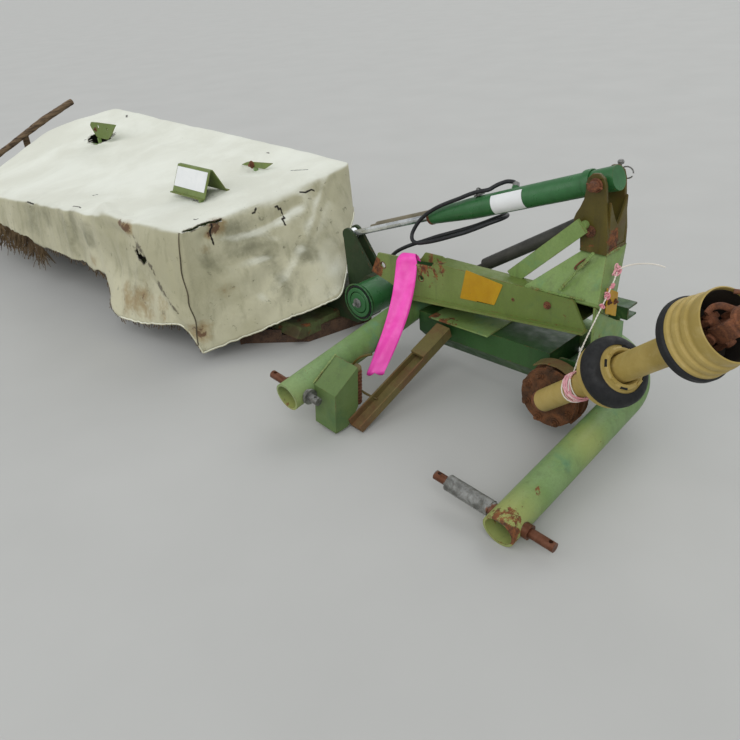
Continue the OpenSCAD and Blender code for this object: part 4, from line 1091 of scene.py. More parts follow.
def canvasFinish():
    made, w, shader, place = newFinish("canvasCloth")
    cloth = w.node("ShaderNodeUVMap", uv_map="clothMap").outputs[0]
    marks = {k: w.node("ShaderNodeAttribute", attribute_name=k).outputs["Fac"]
             for k in ("brown", "grey", "frayAndShade")}
    facing = w.node("ShaderNodeSeparateXYZ")
    w.feed(facing.inputs[0], w.node("ShaderNodeNewGeometry").outputs["Normal"])
    upward = w.span(facing.outputs[2], 0.45, 0.9)
    tone = w.span(w.grain(place, 2.6, 5, 0.6, 0.4), 0.35, 0.68)
    # painted light: the cloth is paler where it faces up and darker on the walls, which paints their shade
    colour = w.tint(tone, w.tint(upward, hue("#b1ad8f"), hue("#e3e4d6")),
                    w.tint(upward, hue("#ccc8ac"), hue("#f0f2e6")))
    # grey mottling from the grey marks, stronger on the walls, where it also paints their shade
    cloud = w.group(patches, Vector=place, Size=5.0, Cover=w.sum("ADD", 0.28, w.sum("MULTIPLY", marks["grey"], 0.8)),
                    Softness=0.3)
    sides = w.span(upward, 0.0, 1.0, 0.75, 0.22)
    colour = w.tint(w.sum("MULTIPLY", cloud, sides), colour, hue("#74735c"))
    streak = w.span(w.grain(w.stretch(place, (9, 9, 1.6)), 2.4, 5, 0.62, 0.3), 0.5, 0.78)
    colour = w.tint(w.sum("MULTIPLY", streak, w.span(upward, 0, 1, 0.5, 0.0)), colour, hue("#868468"))
    mould = w.group(patches, Vector=place, Size=34.0, Cover=w.span(upward, 0, 1, 0.28, 0.08), Softness=0.07)
    colour = w.tint(w.sum("MULTIPLY", mould, w.sum("MULTIPLY", sides, 0.8)), colour, hue("#5b5a48"))
    # brown earth and burnt stains from the brown marks; left of the lap they also paint the recess's shade
    earth = w.group(patches, Vector=place, Size=9.0, Cover=w.sum("ADD", 0.12, w.sum("MULTIPLY", marks["brown"], 1.05)),
                    Softness=0.25)
    colour = w.tint(w.sum("MULTIPLY", earth, w.span(upward, 0, 1, 0.7, 0.3)), colour, hue("#94794a"))
    burntCover = w.sum("SUBTRACT", w.sum("MULTIPLY", marks["brown"], 1.35), 0.6)
    burnt = w.group(patches, Vector=place, Size=26.0, Cover=burntCover, Softness=0.08)
    colour = w.tint(w.sum("MULTIPLY", burnt, 0.8), colour, hue("#5c3b2b"))
    spots = w.group(flecks, Vector=place, Size=64.0, Cover=w.span(upward, 0, 1, 0.15, 0.11))
    colour = w.tint(w.sum("MULTIPLY", spots, 0.7), colour, hue("#4a4738"))
    # dark brown wear and dirt round tears, and beside the slits and the lap's edge also painted shade
    frayAndShade = w.group(patches, Vector=place, Size=48.0, Cover=w.sum("MULTIPLY", marks["frayAndShade"], 0.72), Softness=0.16)
    colour = w.tint(w.sum("MULTIPLY", frayAndShade, 0.75), colour, hue("#40352a"))
    # near-black painted shade inside the closed slits and along the lap's edge
    colour = w.tint(w.span(marks["frayAndShade"], 1.2, 1.7), colour, hue("#1c1914"))
    w.feed(shader.inputs["Base Color"], colour)
    shader.inputs["Roughness"].default_value = 0.88
    shader.inputs["Sheen Weight"].default_value = 0.12
    shader.inputs["Specular IOR Level"].default_value = 0.25
    threads = w.group(weave, Vector=cloth, Threads=2600.0)
    crumple = w.grain(w.stretch(place, (1, 0.7, 1)), 26, 5, 0.6, 0.6)
    relief(w, shader, w.sum("ADD", w.sum("MULTIPLY", crumple, 1.0), w.sum("MULTIPLY", threads, 0.1)), 0.004)
    return made


canvas = canvasFinish()
# painted shade: the cloth's inner shell is dark, which also darkens the inside seen through tears and holes
canvasShadeInside = moulded("canvasShadeInside", {"base": "#2e2c24", "worn": "#413e32", "dust": "#57523f", "smooth": 0.85,
                                        "coarse": 0.98})
sheet, sheetArea, sheetPlaces, sheetWalls = makeCover()
print("cover draped, square metres:", round(sheetArea, 2))


def makeHemRoll():
    bm = bmesh.new()
    inner = [sheetPlaces[c[-1]] for c in sheetWalls["inner"]]
    addTube(bm, [Vector(p) for p in inner[:-2]], 3.2, 8)
    front = [sheetPlaces[c[-1]] for c in sheetWalls["front"]]
    addTube(bm, [Vector(p) for p in front[:38]], 3.6, 8)
    return settle("coverHem", bm, canvas, "cutterbar", mend=False)


def makeFringe():
    points, sizes = [], []
    front = [Vector(sheetPlaces[c[-1]]) for c in sheetWalls["front"]]
    for k in range(len(front) - 1):
        d = -front[k].y - 1100
        share = 9 if d > 1300 else 3 if 560 < d < 760 else 1
        for n in range(share):
            points.append(machineAxes @ front[k].lerp(front[k + 1], (n + 0.5) / share))
            sizes.append(1.0 if d > 1700 else 0.8 if d > 1300 else 0.2)
    seeds = seedPoints("fringeSeeds", points, [(0, 0, -1)] * len(points), sizes)
    return grow("coverFringe", fringeTree, seeds, "cutterbar", Finish=straw, Length=0.15, Thread=0.0015, Seed=5)


hem, fringe = makeHemRoll(), makeFringe()
print("hem and fringe sewn")


def makeBinding():  # the sewn edge where the end flap wraps round the front corner; its dark colour is a painted shadow along the seam
    seam = [(178, 234), (178, 250), (181, 272), (187, 295), (192, 312), (196, 332), (199, 349)]
    line = [Vector(p) + Vector((2, 1, 0)) for p in underPhoto(sheetPlaces, seam)]
    bm = bmesh.new()
    addTube(bm, smoothPath(line[::3] + line[-1:], 5), 2.6, 8)
    settle("flapBinding", bm, seamShadow, "cutterbar", mend=False)


makeBinding()

# Plates that stand through the cover
brackets = {"tent": [(-306, 572), (-306, 576), (-320, 576), (-371, 680), (-385, 680), (-437, 584), (-450, 584),
                     (-450, 580), (-435, 580), (-382, 676), (-374, 676), (-324, 572)], "in": -1318, "out": -1556,
            "small": [(-1584, 594), (-1412, 594), (-1346, 628), (-1532, 613)],
            "large": [(-3052, 640), (-3013, 590), (-2992, 575), (-2870, 575), (-2817, 604), (-2760, 650),
                      (-2732, 669), (-2945, 664), (-3030, 660)],
            "holes": [(-2955, 640, 11), (-2850, 634, 7)], "thick": 6, "x": -718,
            "ridge": (-371, 680), "foot": (-320, 576), "panel": (0.08, 0.72, 6),
            "bolts": [(-712, -1500, 604, 1.1), (-712, -2990, 622, 0.8)]}


def makeBrackets():
    bm = bmesh.new()
    addPlate(bm, brackets["tent"], brackets["in"] - brackets["out"], -brackets["in"], place=onBack)
    addPlate(bm, rounded(brackets["small"], 8), brackets["thick"], brackets["x"], place=onFace)
    addPlate(bm, rounded(brackets["large"], 10), brackets["thick"], brackets["x"],
             holes=[circle(*hole) for hole in brackets["holes"]], place=onFace)
    piece = settle("coverPlates", bm, beamGreen, "cutterbar", bevel=1.2)
    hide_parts("cover_brackets")
    bm = bmesh.new()  # the blank white panel on the tent's front leaf
    ridge, foot, (inset, share, margin) = brackets["ridge"], brackets["foot"], brackets["panel"]
    slope = Vector((foot[0] - ridge[0], 0, foot[1] - ridge[1]))
    start = Vector((ridge[0], brackets["out"] + margin, ridge[1])) + slope * inset
    side, down = Vector((0, brackets["in"] - brackets["out"] - 14, 0)), slope * share
    face = side.cross(down).normalized()
    face = face if face.x > 0 else -face
    corners = [start, start + down, start + down + side, start + side]
    low, high = [bm.verts.new(c + face * 0.6) for c in corners], [bm.verts.new(c + face * 2.4) for c in corners]
    bm.faces.new(high)
    bm.faces.new(list(reversed(low)))
    for k in range(4):
        bm.faces.new((low[k], low[(k + 1) % 4], high[(k + 1) % 4], high[k]))
    settle("blankPanel", bm, paleLabel, "cutterbar", bevel=0.5)
    boltsOn("plateBolts", brackets["bolts"], (1, 0, 0), "cutterbar")


makeBrackets()

# Swath pole
pole = {"line": [(-900, -3640, 700), (-700, -3630, 632), (-500, -3612, 552), (-330, -3596, 486), (-150, -3582, 424),
                 (40, -3570, 350)], "width": 42,
        "stand": [((-560, -3630, 60), (-520, -3622, 572)), ((-560, -3630, 60), (-520, -3424.5, 68))]}


def makePole():
    bm = bmesh.new()
    path = smoothPath(pole["line"], 14)
    rings = addTube(bm, path, lambda t: pole["width"] / 2 * (0.86 + 0.12 * math.sin(t * 9) + 0.1 * t), 18)
    for ring in rings:
        for v in ring:
            v.co += Vector(noise.noise_vector(v.co * 0.02)) * 3 + Vector(noise.noise_vector(v.co * 0.09)) * 1.3
    for low, high in pole["stand"]:
        addBox(bm, low, high)
    piece = settle("swathPole", bm, wood, "cutterbar")
    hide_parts("swath_stick")


makePole()
print("plates and pole stand")

# Fork that carries the lift cylinder
fork = {"ear": [(232, 585), (318, 585), (317, 640), (311, 690), (306, 730), (303, 762), (300, 788), (293, 809),
                (276, 821), (255, 819), (241, 805), (236, 788), (237, 768), (233, 742), (222, 716), (210, 696),
                (204, 680), (206, 662), (218, 648), (228, 628)], "thick": 12, "half": 48, "x": -680,
        "pin": (270, 788), "bore": 15.2,
        "mouth": [(-729, 597), (-631, 597), (-631, 742), (-650, 706), (-668, 676), (-680, 664), (-694, 676),
                  (-712, 706), (-729, 742)], "web": 10, "far": -752, "ring": (20, 17)}


def makeFork():
    bm = bmesh.new()
    for base in (fork["x"] + fork["half"], fork["x"] - fork["half"] - fork["thick"]):
        addPlate(bm, fork["ear"], fork["thick"], base, holes=[circle(*fork["pin"], fork["bore"])], place=onFace)
    addBox(bm, (-729, 232, 585), (-631, 318, 597))
    addPlate(bm, fork["mouth"], fork["web"], -316, place=onBack)  # the rear web with its v-shaped mouth
    piece = settle("liftFork", bm, olivePaint, "headstock", bevel=2.2)
    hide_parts("tower_fork")
    bm = bmesh.new()
    turned = Matrix.Translation((0, *fork["pin"])) @ onFace
    addLathe(bm, [(0, -758), (15, -758), (15, -602), (13, -598), (0, -598)], 28, False, turned)
    for base in (-620, -746):
        addLathe(bm, [(15, base), (20, base), (21, base + 3), (20, base + 6), (15, base + 6)], 28, True, turned)
    addLathe(bm, [(0, -612), (15, -612), (16, -604), (14, -592), (7, -588), (0, -587)], 24, False, turned)
    addTube(bm, smoothPath([(-606, 246, 792), (-606, 262, 790), (-606, 282, 787), (-606, 296, 784)], 3), 3.2, 8)
    settle("forkPin", bm, rusty, "headstock", bevel=1.0)
    bm = bmesh.new()  # linchpin with its ring at the far end
    far, (wide, high) = fork["far"], fork["ring"]
    ring = [Vector((far, 292 + wide * math.cos(a), 796 + high * math.sin(a))) for a in ringPoints(23, 24)]
    addTube(bm, smoothPath(ring, 2), 2.2, 8)
    addTube(bm, [(far, 270, 764), (far, 270, 820)], 4, 10)
    addLathe(bm, [(0, -3), (9, -3), (10, 4), (6, 9), (0, 9)], 16, False, Matrix.Translation((far, 270, 822)))
    settle("forkLinchpin", bm, greySteel, "headstock")
    boltsOn("forkBolts", [(-620, 262, 650, 1.1)], (1, 0, 0), "headstock")


makeFork()

# Ribbed sleeve beside the rod
sleeve = {"off": 73, "from": liftLength - 560, "ribs": 96, "pitch": 5.0, "radius": 0.0155, "bead": 0.0024,
          "body": [(0, 0), (15.4, 0), (15.4, 480), (11, 484), (11, 518), (0, 518)], "bar": 510}


def makeSleeve():
    points = [liftAxes @ Vector((-sleeve["off"], 0, sleeve["from"] + 3 + k * sleeve["pitch"]))
              for k in range(sleeve["ribs"])]
    along = (liftAxes.to_3x3() @ Vector((0, 0, 1))).normalized()
    seeds = seedPoints("ribSeeds", points, [along] * len(points))
    grow("sleeveRibs", ringTree, seeds, "lift_cylinder_rod", crease=80, Finish=ribbedGrey, Radius=sleeve["radius"],
         Bead=sleeve["bead"])
    bm = bmesh.new()
    addLathe(bm, sleeve["body"], 24, False, Matrix.Translation((-sleeve["off"], 0, sleeve["from"])))
    bar = towardsX((-sleeve["off"], 0, sleeve["from"] + sleeve["bar"]))
    addLathe(bm, [(0, 0), (6, 0), (6, sleeve["off"] - 12.7), (0, sleeve["off"] - 12.7)], 16, False, bar)
    piece = settle("ribbedSleeve", bm, ribbedGrey, "lift_cylinder_rod", liftAxes, bevel=0.8)
    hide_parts("ribbed_sleeve")


makeSleeve()


# Trip spring with its core and the hoop of its pull rod
spring = {"base": (-163.2, -330.5, -88), "turns": 10.0, "radius": 0.0235, "height": 0.136, "wire": 0.0056,
          "hoop": [(-196, -262, 252), (-178, -300, 236), (-165, -326, 205), (-160, -338, 168), (-166, -332, 128),
                   (-186, -306, 92), (-212, -270, 66)], "rod": 4.2}


def makeTripSpring():
    lift = headAxes @ Matrix.Translation(spring["base"])
    seeds = seedPoints("springSeed", [(0, 0, 0)], [(0, 0, 1)])
    coil = grow("tripSpring", coilTree, seeds, "headstock", crease=80, Finish=rusty, Turns=spring["turns"],
                Radius=spring["radius"], Height=spring["height"], Wire=spring["wire"])
    coil.data.transform(lift @ Matrix.Scale(1000, 4))
    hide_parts("trip_spring")
    bm = bmesh.new()
    addLathe(bm, [(0, -8), (12, -8), (12, 146), (0, 146)], 20, False, Matrix.Translation(spring["base"]))
    addLathe(bm, [(0, 142), (27, 142), (27, 147), (0, 147)], 24, False, Matrix.Translation(spring["base"]))
    settle("springCore", bm, strutBrown, "headstock", headAxes)
    bm = bmesh.new()
    addTube(bm, smoothPath(spring["hoop"], 6), spring["rod"], 10)
    settle("hoopRod", bm, olivePaint, "headstock")


makeTripSpring()
print("fork, sleeve and spring made")

# Guard bells and shaft ends
bell = {"near": 392, "far": 690,
        "nearShell": [(36, -10), (58, -10), (78, -12), (90, -8), (91, 4), (88, 14), (86, 20), (86, 40), (78, 54),
                      (66, 58), (60, 62), (57, 72), (52, 76), (46, 76), (43, 70), (39.6, 62), (39.6, 12), (36, 10)],
        "nearRing": [(84, 14), (92, 12), (96, 18), (97, 30), (95, 44), (88, 54), (76, 61), (66, 62.5), (66, 57),
                     (78, 52), (84, 42)],
        "farLiner": [(38.2, 14), (64, 15), (77.4, 27), (78.4, 60), (81, 98), (81, 122), (80, 122), (79.6, 98),
                     (76, 60), (75, 29), (63, 17), (38.2, 16)],
        "farRing": [(86, 8), (98, 8), (101, 14), (101, 28), (97, 33), (88, 32)]}


def makeBells():
    place = Matrix.Translation((0, 0, bell["near"] - 40))
    bm = bmesh.new()
    addLathe(bm, bell["nearShell"], 72, True, place)
    for k in range(4):
        addBox(bm, (50, -9, 68), (57, 9, 80), place @ Matrix.Rotation(math.radians(k * 90 + 24), 4, "Z"))
    near = settle("nearBell", bm, khaki, "headstock", shaftAxes, bevel=0.8)
    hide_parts("guard_bell_inner")
    turnPart("nearRing", ringRubber, "headstock", bell["nearRing"], 72, True, place, shaftAxes)
    bm = bmesh.new()
    for k in range(4):  # clip slots
        addBox(bm, (52.5, -10, 70), (58.5, 10, 74.5), place @ Matrix.Rotation(math.radians(k * 90 + 60), 4, "Z"))
    settle("nearSlots", bm, ringRubber, "headstock", shaftAxes)
    place = Matrix.Translation((0, 0, bell["far"] - 30))
    shell = [(37.8, 0), (60, 0), (70, 2), (84, 8), (88, 18)]
    for k in range(3):  # three folds of the bell's wall
        base, shrink = 26 + k * 24, k * 3
        shell += [(95 - shrink, base), (96.5 - shrink, base + 6), (95 - shrink, base + 14), (90.5 - shrink, base + 18),
                  (90 - shrink, base + 22)]
    shell += [(86, 100), (87, 118), (86.5, 129), (83.5, 130.5), (82, 127), (82, 100), (79, 60), (78, 26), (64, 14),
              (37.8, 13)]
    # a near-black liner darkens the inside of the far bell
    turnPart("farLiner", darkLiner, "shaft_guard_outer", bell["farLiner"], 64, True, place, shaftAxes)
    far = turnPart("farBell", khaki, "shaft_guard_outer", shell, 80, True, place, shaftAxes)
    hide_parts("guard_bell_outer")
    turnPart("farRing", ringRubber, "shaft_guard_outer", bell["farRing"], 72, True, place, shaftAxes)


# Joint yoke and the hook of the guard's holding chain
yoke = {"shaft": [(0, -90), (33, -90), (33, -74), (22, -74), (22, 20), (0, 20)],
        "sleeve": [(17.5, 126), (31, 126), (31, 138), (28, 142), (28, 168), (26, 170), (17.5, 170)],
        "hook": [(-64, 30, 112), (-52, 44, 124), (-34, 46, 132), (-20, 34, 130), (-18, 16, 122), (-30, 2, 114),
                 (-44, -12, 106), (-48, -30, 98), (-40, -46, 92)], "lean": 20, "cross": 62}


def makeYoke():
    place = Matrix.Translation((0, 0, bell["far"]))
    bm = bmesh.new()
    addLathe(bm, yoke["shaft"], 28, False, place)
    # two forks round the joint's cross, then the sleeve for the tractor's shaft
    for turnBy, base, away in ((0, 10, 1), (90, 128, -1)):
        for side in (-1, 1):
            lean = place @ Matrix.Rotation(math.radians(turnBy + yoke["lean"]), 4, "Z")
            arm = [(side * 18, base - away * 12), (side * 36, base), (side * 40, base + away * 40),
                   (side * 34, base + away * 62), (side * 22, base + away * 62), (side * 25, base + away * 26),
                   (side * 14, base + away * 8)]
            addPlate(bm, arm, 40, -20, place=lean @ onSide)
    for turnBy in (0, 90):
        cross = place @ Matrix.Translation((0, 0, yoke["cross"])) \
            @ Matrix.Rotation(math.radians(turnBy + yoke["lean"]), 4, "Z") @ Matrix.Rotation(math.pi / 2, 4, "Y")
        addLathe(bm, [(0, -43), (13, -43), (13, 43), (0, 43)], 20, False, cross)
    addLathe(bm, yoke["sleeve"], 32, True, place)
    piece = settle("jointYoke", bm, rusty, "shaft_guard_outer", shaftAxes, bevel=2.0)
    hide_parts("shaft_yoke")
    bm = bmesh.new()
    addTube(bm, [place @ Vector(p) for p in smoothPath(yoke["hook"], 5)], 8, 10, flat=0.6)
    settle("guardHook", bm, rusty, "shaft_guard_outer", shaftAxes)


makeBells()
makeYoke()
print("bells and yoke turned")

# Finishes of the parts that keep their solid form
coats = {lightGreen: ["tower", "tower_stay", "beam_saddle", "guard_cover", "cover_frame"], tubeGreen: ["draft_tube"],
         boxGreen: ["spring_box"], nearBlackGreen: ["swing_arm", "lift_lug"], beamGreen: ["main_beam"],
         darkGreen: ["hinge_plate", "belt_guard", "input_bearing", "channel_stub"],
         brightGreen: ["pivot_housing", "lift_barrel"], chromed: ["lift_rod"], pinLeft: ["lower_pin_left"],
         pinRight: ["lower_pin_right"], strutBrown: ["trip_strut"], sleeveGrey: ["relief_tube"],
         orangeRust: ["slip_clutch"], rusty: ["shaft_joint"], khaki: ["guard_tube_inner", "guard_tube_outer"],
         bedPaint: ["gear_bed"] + [f"disc_{k + 1}" for k in range(6)],
         skidSteel: ["skid_shoes", "inner_shoe", "outer_shoe"]}


def coat(node, finish):
    slots = cadNodes[node].material_slots
    if not slots:
        cadNodes[node].data.materials.append(finish)
    for place in slots:
        place.material = finish


for finish, nodes in coats.items():
    for node in nodes:
        coat(node, finish)
print("solids coated")

# Beam: bent lip of the notch, holes with rusty rims, the end's fold and the blank yellow sheet
beam = {"face": -540, "lip": [(300, 361), (-20, 331), (-400, 296)],
        "notch": [(-392, 441), (-374, 428), (-330, 431), (-292, 434), (-281, 446), (-270, 456)], "round": 5.5,
        "plate": [(-382, 428), (-352, 466), (-276, 468), (-262, 463), (-254, 446), (-290, 438)], "plateAt": -586,
        "sheet": [(-137, 464), (13, 447), (-20, 366), (-164, 354)],
        "holes": [(-528, 392, 13), (-340, 385, 12), (-52, 385, 4), (52, 405, 4)],
        "welds": [("beamWeld", [(-543, -395, 300), (-548, -500, 332), (-546, -588, 356)], 4.5),
                  ("shelfWeld", [(-560, 90, 459), (-700, 92, 459)], 4.0)]}


def makeBeamParts():
    bm = bmesh.new()
    # rounded lips along the beam's lower edge and round the notch, and the bent plate in it
    addTube(bm, smoothPath([(beam["face"] + 3, y, z) for y, z in beam["lip"]], 8), beam["round"], 8)
    addTube(bm, smoothPath([(beam["face"] - 4, y, z + 1) for y, z in beam["notch"]], 5), beam["round"], 8)
    addPlate(bm, beam["plate"], 7, beam["plateAt"], place=onFace)
    settle("beamLips", bm, beamGreen, "headstock", bevel=1.0)
    bm = bmesh.new()
    addPlate(bm, rounded(beam["sheet"], 5), 1.2, beam["face"] + 0.5, place=onFace)
    settle("blankYellow", bm, yellowSheet, "headstock", bevel=0.4)
    bm = bmesh.new()  # rims of the holes
    for y, z, r in beam["holes"]:
        addLathe(bm, [(r - 0.6, -0.5), (r + 2.2, -0.5), (r + 1.6, 1.1), (r - 0.2, 1.3)], 24, True,
                 towardsX((beam["face"], y, z)))
    settle("holeRims", bm, rusty, "headstock")
    for (name, line, bead), finish in zip(beam["welds"], (beamGreen, lightGreen)):
        weldAlong(name, line, bead, "headstock", finish)
    out = beam["face"] + 1
    boltsOn("beamBolts", [(out, -430, 350, 0.9), (out, 180, 420, 0.8)], (1, 0, 0), "headstock")


makeBeamParts()


# Tower: welds, wire eye and the small yellow plate on its outer side
tower = {"welds": [("ridgeWeld", [(-548, 216, 480), (-574, 254, 540), (-600, 290, 596)], 6.0),
                   ("towerFoot", [(-545, 96, 461), (-545, 200, 463), (-546, 300, 466)], 4.5),
                   ("forkWeld", [(-628, 232, 586), (-628, 316, 586), (-700, 319, 586)], 5.0)],
         "plate": [(-588, 503), (-658, 464), (-656, 385), (-591, 417)], "plateAt": 346,
         "screws": [(-604, 349, 452, 0.6), (-642, 349, 440, 0.6)], "eye": (-608, 252, 549), "wire": 2.8}


def makeTowerParts():
    for name, line, bead in tower["welds"]:
        weldAlong(name, line, bead, "headstock", lightGreen)
    bm = bmesh.new()
    addPlate(bm, rounded(tower["plate"], 4), 3, tower["plateAt"], place=onSide)
    settle("yellowPlate", bm, yellowSheet, "headstock", bevel=0.6)
    bm = bmesh.new()
    slope, out = Vector((-0.56, 0, 0.83)), Vector((0.83, 0, 0.56))
    along, across = slope * 0.75 + Vector((0, 0.62, 0)), slope * -0.6 + Vector((0, 0.75, 0))
    eye = [Vector(tower["eye"]) + out * (6 + 3 * math.sin(a)) + along * 26 * math.cos(a) + across * 9 * math.sin(a)
           for a in [0.5 + k / 14 * 5.6 for k in range(15)]]
    addTube(bm, smoothPath(eye, 3), tower["wire"], 8)
    settle("wireEye", bm, rusty, "headstock")
    boltsOn("plateScrews", tower["screws"], (0, 1, 0), "headstock")


makeTowerParts()


# Barrel: blank label round it, collar, gland and the clip that holds the hose
barrel = {"label": (280, 406), "round": 38.6, "film": 0.9, "spread": 52, "clip": 470,
          "collar": [(37.5, 40), (41, 40), (42, 44), (42, 62), (41, 66), (37.5, 66)],
          "gland": [(19, 700), (25, 700), (28, 704), (28, 712), (24, 716), (19, 716)],
          "loop": [(-10, 42, 0), (-12, 54, 0), (0, 62, 0), (12, 54, 0), (12, 42, 0)]}


def makeBarrelParts():
    bm = bmesh.new()
    around = [math.radians(a) for a in range(-barrel["spread"], barrel["spread"] + 1, 8)]
    strips = [[bm.verts.new((r * math.cos(a), r * math.sin(a), along)) for a in around]
              for r in (barrel["round"], barrel["round"] - barrel["film"]) for along in barrel["label"]]
    for k in range(len(around) - 1):
        bm.faces.new((strips[0][k], strips[1][k], strips[1][k + 1], strips[0][k + 1]))
        bm.faces.new((strips[2][k], strips[2][k + 1], strips[3][k + 1], strips[3][k]))
        for a, b in ((0, 2), (3, 1)):
            bm.faces.new((strips[a][k], strips[a][k + 1], strips[b][k + 1], strips[b][k]))
    for k in (0, -1):
        bm.faces.new((strips[0][k], strips[2][k], strips[3][k], strips[1][k]))
    settle("barrelLabel", bm, paleLabel, "lift_cylinder_barrel", liftAxes)
    turnPart("barrelCollars", brightGreen, "lift_cylinder_barrel", barrel["collar"], 48, on=liftAxes, bevel=0.8)
    turnPart("barrelGland", rusty, "lift_cylinder_barrel", barrel["gland"], 40, on=liftAxes, bevel=0.6)
    bm = bmesh.new()
    clip = Matrix.Translation((0, 0, barrel["clip"]))
    addBox(bm, (-12, 38, -14), (14, 43, 14), clip)
    addTube(bm, [clip @ p for p in smoothPath(barrel["loop"], 4)], 3, 8)
    for ring in (-12, 12):
        addTube(bm, [clip @ Vector((0, 46, ring)), clip @ Vector((0, 52, ring))], 5, 6)
    settle("hoseClip", bm, greySteel, "lift_cylinder_barrel", liftAxes, bevel=0.5)


makeBarrelParts()


# Pivot: groove ring, cap and its centre bolt
pivot = {"centre": (-496, -630, 230), "rim": 74, "bead": 3.2,
         "groove": [(44, 0), (58, 0), (60, 2.5), (58, 5), (46, 5), (44, 3)],
         "cap": [(0, 0), (40, 0), (41, 2), (39, 4.5), (20, 6), (0, 6.4)],
         "seal": [(62, -6), (66, -6), (67, -3), (66, 0), (62, 0)]}


def makePivotParts():
    x, y, z = pivot["centre"]
    turned = towardsX(pivot["centre"])
    bm = bmesh.new()
    addLathe(bm, pivot["groove"], 56, True, turned)
    addLathe(bm, pivot["cap"], 56, False, turned)
    settle("pivotCap", bm, brightGreen, "cutterbar", bevel=0.7)
    turnPart("pivotSeal", ringRubber, "cutterbar", pivot["seal"], 56, True, turned)
    boltsOn("pivotBolt", [(x + 7, y, z, 1.2)], (1, 0, 0), "cutterbar", finish=greySteel)
    rim = [(x, y + pivot["rim"] * math.cos(a), z + pivot["rim"] * math.sin(a)) for a in ringPoints(21, 20)]
    weldAlong("pivotRim", rim, pivot["bead"], "cutterbar", brightGreen)


makePivotParts()


# Slip clutch: springs, bolts, rusty bands and lugs, with the belt guard's bracket
clutch = {"centre": (0, 250, 148), "springs": 8, "springsAt": 82, "bands": [(104, -524, -516), (100, -474, -468),
                                                                            (38, -447, -441)],
          "spring": [(0, -2), (7, -2), (7, 62), (0, 62)], "strip": (116, 111), "stripFrom": 56, "stripTo": 127,
          "lugs": [(205, 34), (325, 30), (95, 26), (262, 22)], "lugEnd": [(0, 28), (9, 28), (9, 40), (0, 42)],
          "bracket": [(236, 146), (322, 146), (322, 236), (300, 262), (236, 262)],
          "bracketBolts": [(-528, 262, 236, 0.9), (-528, 306, 216, 0.9), (-528, 306, 166, 0.8)]}


def makeClutchParts():
    _, y, z = clutch["centre"]
    spots = [(y + math.cos(a) * clutch["springsAt"], z + math.sin(a) * clutch["springsAt"])
             for a in [(k + 0.5) / clutch["springs"] * 2 * math.pi for k in range(clutch["springs"])]]
    bm = bmesh.new()
    for along, high in spots:
        addLathe(bm, clutch["spring"], 12, False, towardsX((-500, along, high)))
    for r, low, high in clutch["bands"]:
        addLathe(bm, [(r - 10, low), (r - 1, low), (r, low + 1.5), (r, high - 1.5), (r - 1, high), (r - 10, high)],
                 48, True, towardsX(clutch["centre"]))
    settle("clutchBands", bm, orangeRust, "headstock", bevel=0.8)
    boltsOn("clutchBolts", [(-452, along, high, 1.0) for along, high in spots], (1, 0, 0), "headstock",
            finish=orangeRust)
    bm = bmesh.new()
    addPlate(bm, rounded(clutch["bracket"], 14), 6, -534, place=onFace)
    addBox(bm, (-596, 318, 150), (-529, 324, 232))
    settle("guardBracket", bm, darkGreen, "headstock", bevel=1.2)
    boltsOn("guardBolts", clutch["bracketBolts"], (1, 0, 0), "headstock")
    bm = bmesh.new()
    arc = [math.radians(k) for k in range(clutch["stripFrom"], clutch["stripTo"], 10)]
    outer, inner = ([(y + r * math.cos(a), z + r * math.sin(a)) for a in arc] for r in clutch["strip"])
    addPlate(bm, outer + inner[::-1], 44, -512, place=onFace)
    settle("clutchStrip", bm, strutBrown, "headstock", bevel=0.8)
    bm = bmesh.new()
    for turnBy, wide in clutch["lugs"]:
        lug = Matrix.Translation((-498, y, z)) @ Matrix.Rotation(math.radians(turnBy), 4, "X")
        addBox(bm, (-10, 78, -wide / 2), (30, 106, wide / 2), lug)
        addLathe(bm, clutch["lugEnd"], 12, False, lug @ towardsX((0, 92, 0)))
    settle("clutchLugs", bm, orangeRust, "headstock", bevel=3.0)


makeClutchParts()
weldAlong("boxWeld", [(-134, -388, 96), (-30, -388, 30)], 4.5, "headstock", lightGreen, headAxes)
boltsOn("boxBolt", [(-56, -330, -120, 1.0)], (0, 0, -1), "headstock", headAxes)
print("beam, tower, barrel, pivot and clutch dressed")


# Pink ribbon over the beam's inner end
ribbon = {"line": [(-572, -398, 432), (-566, -399, 452), (-548, -399, 464), (-530, -396, 454), (-520, -390, 430),
                   (-500, -378, 392), (-466, -362, 344), (-426, -350, 292), (-382, -344, 240), (-336, -340, 190),
                   (-296, -336, 146), (-272, -334, 120)], "width": 76, "across": 10}


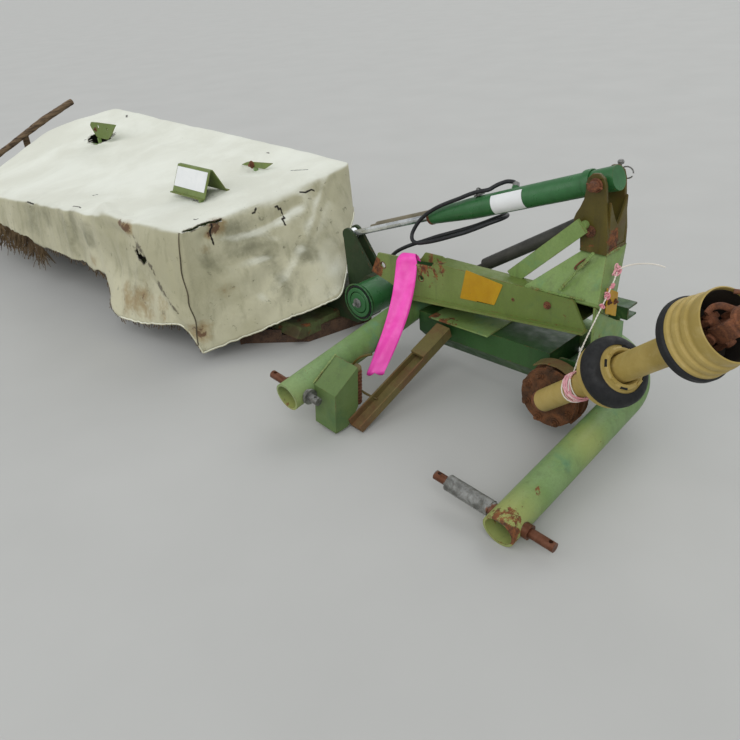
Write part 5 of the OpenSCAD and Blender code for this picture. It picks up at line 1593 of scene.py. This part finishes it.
def makeRibbon():
    bm = bmesh.new()
    path = smoothPath(ribbon["line"], 8)
    uv = bm.loops.layers.uv.new("clothMap")
    rows, marks, run = [], {}, 0.0
    for i, p in enumerate(path):
        run += (p - path[i - 1]).length if i else 0.0
        t = i / (len(path) - 1)
        row = []
        for k in range(ribbon["across"] + 1):
            s = k / ribbon["across"] - 0.5
            pinch = (0.5 + 0.5 * min(1, abs(t - 0.12) * 5)) * (1 - 0.3 * max(0, t - 0.5))
            side = Vector((-0.9 * min(1, t * 2.2), 1, 0)).normalized()
            q = p + side * (s * ribbon["width"] * pinch)
            q += Vector((2.5, 0, 1.5)) * math.sin(s * 7 + t * 9) * (0.4 + t)
            q += Vector(noise.noise_vector(Vector((s * 2, t * 6, 1)))) * 3.2 * t
            if i == len(path) - 1:
                q += Vector((0, 0, -12)) * abs(math.sin(s * 5.2))
            v = bm.verts.new(q)
            marks[v] = ((s * ribbon["width"]) / 1000, run / 1000)
            row.append(v)
        rows.append(row)
    for a, b in zip(rows, rows[1:]):
        for k in range(ribbon["across"]):
            face = bm.faces.new((a[k], a[k + 1], b[k + 1], b[k]))
            for loop in face.loops:
                loop[uv].uv = marks[loop.vert]
    area = sum(f.calc_area() for f in bm.faces) / 1e6
    piece = settle("markerRibbon", bm, ribbonPink, "headstock", mend=False)
    stout = piece.modifiers.new("filmThickness", "SOLIDIFY")
    stout.thickness = 0.0012
    stout.offset = 0


makeRibbon()
print("ribbon hung")

# Floor, world and lamps
studio = {"floor": "#b9b9b6", "world": "#cfd2d4", "worldLight": 0.74,
          "lamps": [("keyLamp", (3.4, 3.2, 4.2), 0.75, 1.12), ("fillLamp", (4.5, -3.0, 3.2), 0.9, 0.5),
                    ("backLamp", (-4.5, -1.0, 4.0), 0.9, 0.8)]}


def makeStudio():
    bm = bmesh.new()
    addPlate(bm, [(-80000, -80000), (80000, -80000), (80000, 80000), (-80000, 80000)], 40, -40.6)
    bmesh.ops.transform(bm, matrix=machineAxes, verts=bm.verts)
    mesh = bpy.data.meshes.new("studioFloor")
    bm.to_mesh(mesh)
    bm.free()
    floor = bpy.data.objects.new("studioFloor", mesh)
    scene.collection.objects.link(floor)
    made, w, shader, place = newFinish("floorFinish")
    w.feed(shader.inputs["Base Color"], w.tint(w.grain(place, 2.0, 4, 0.5), hue(studio["floor"]), hue("#c3c3c0")))
    shader.inputs["Roughness"].default_value = 0.9
    mesh.materials.append(made)
    world = bpy.data.worlds.new("studioWorld")
    scene.world = world
    world.use_nodes = True
    sky = world.node_tree.nodes["Background"]
    sky.inputs[0].default_value = hue(studio["world"])
    sky.inputs[1].default_value = studio["worldLight"]
    for name, place, spread, power in studio["lamps"]:  # wide soft suns, so that the floor is lit evenly
        light = bpy.data.lights.new(name, "SUN")
        light.angle, light.energy = spread, power
        lamp = bpy.data.objects.new(name, light)
        away = Vector(place) - Vector((0, 0, 0.3))
        lamp.matrix_world = Matrix.Translation(place) @ away.to_track_quat("Z", "Y").to_matrix().to_4x4()
        scene.collection.objects.link(lamp)


makeStudio()
scene.view_settings.view_transform = "Standard"
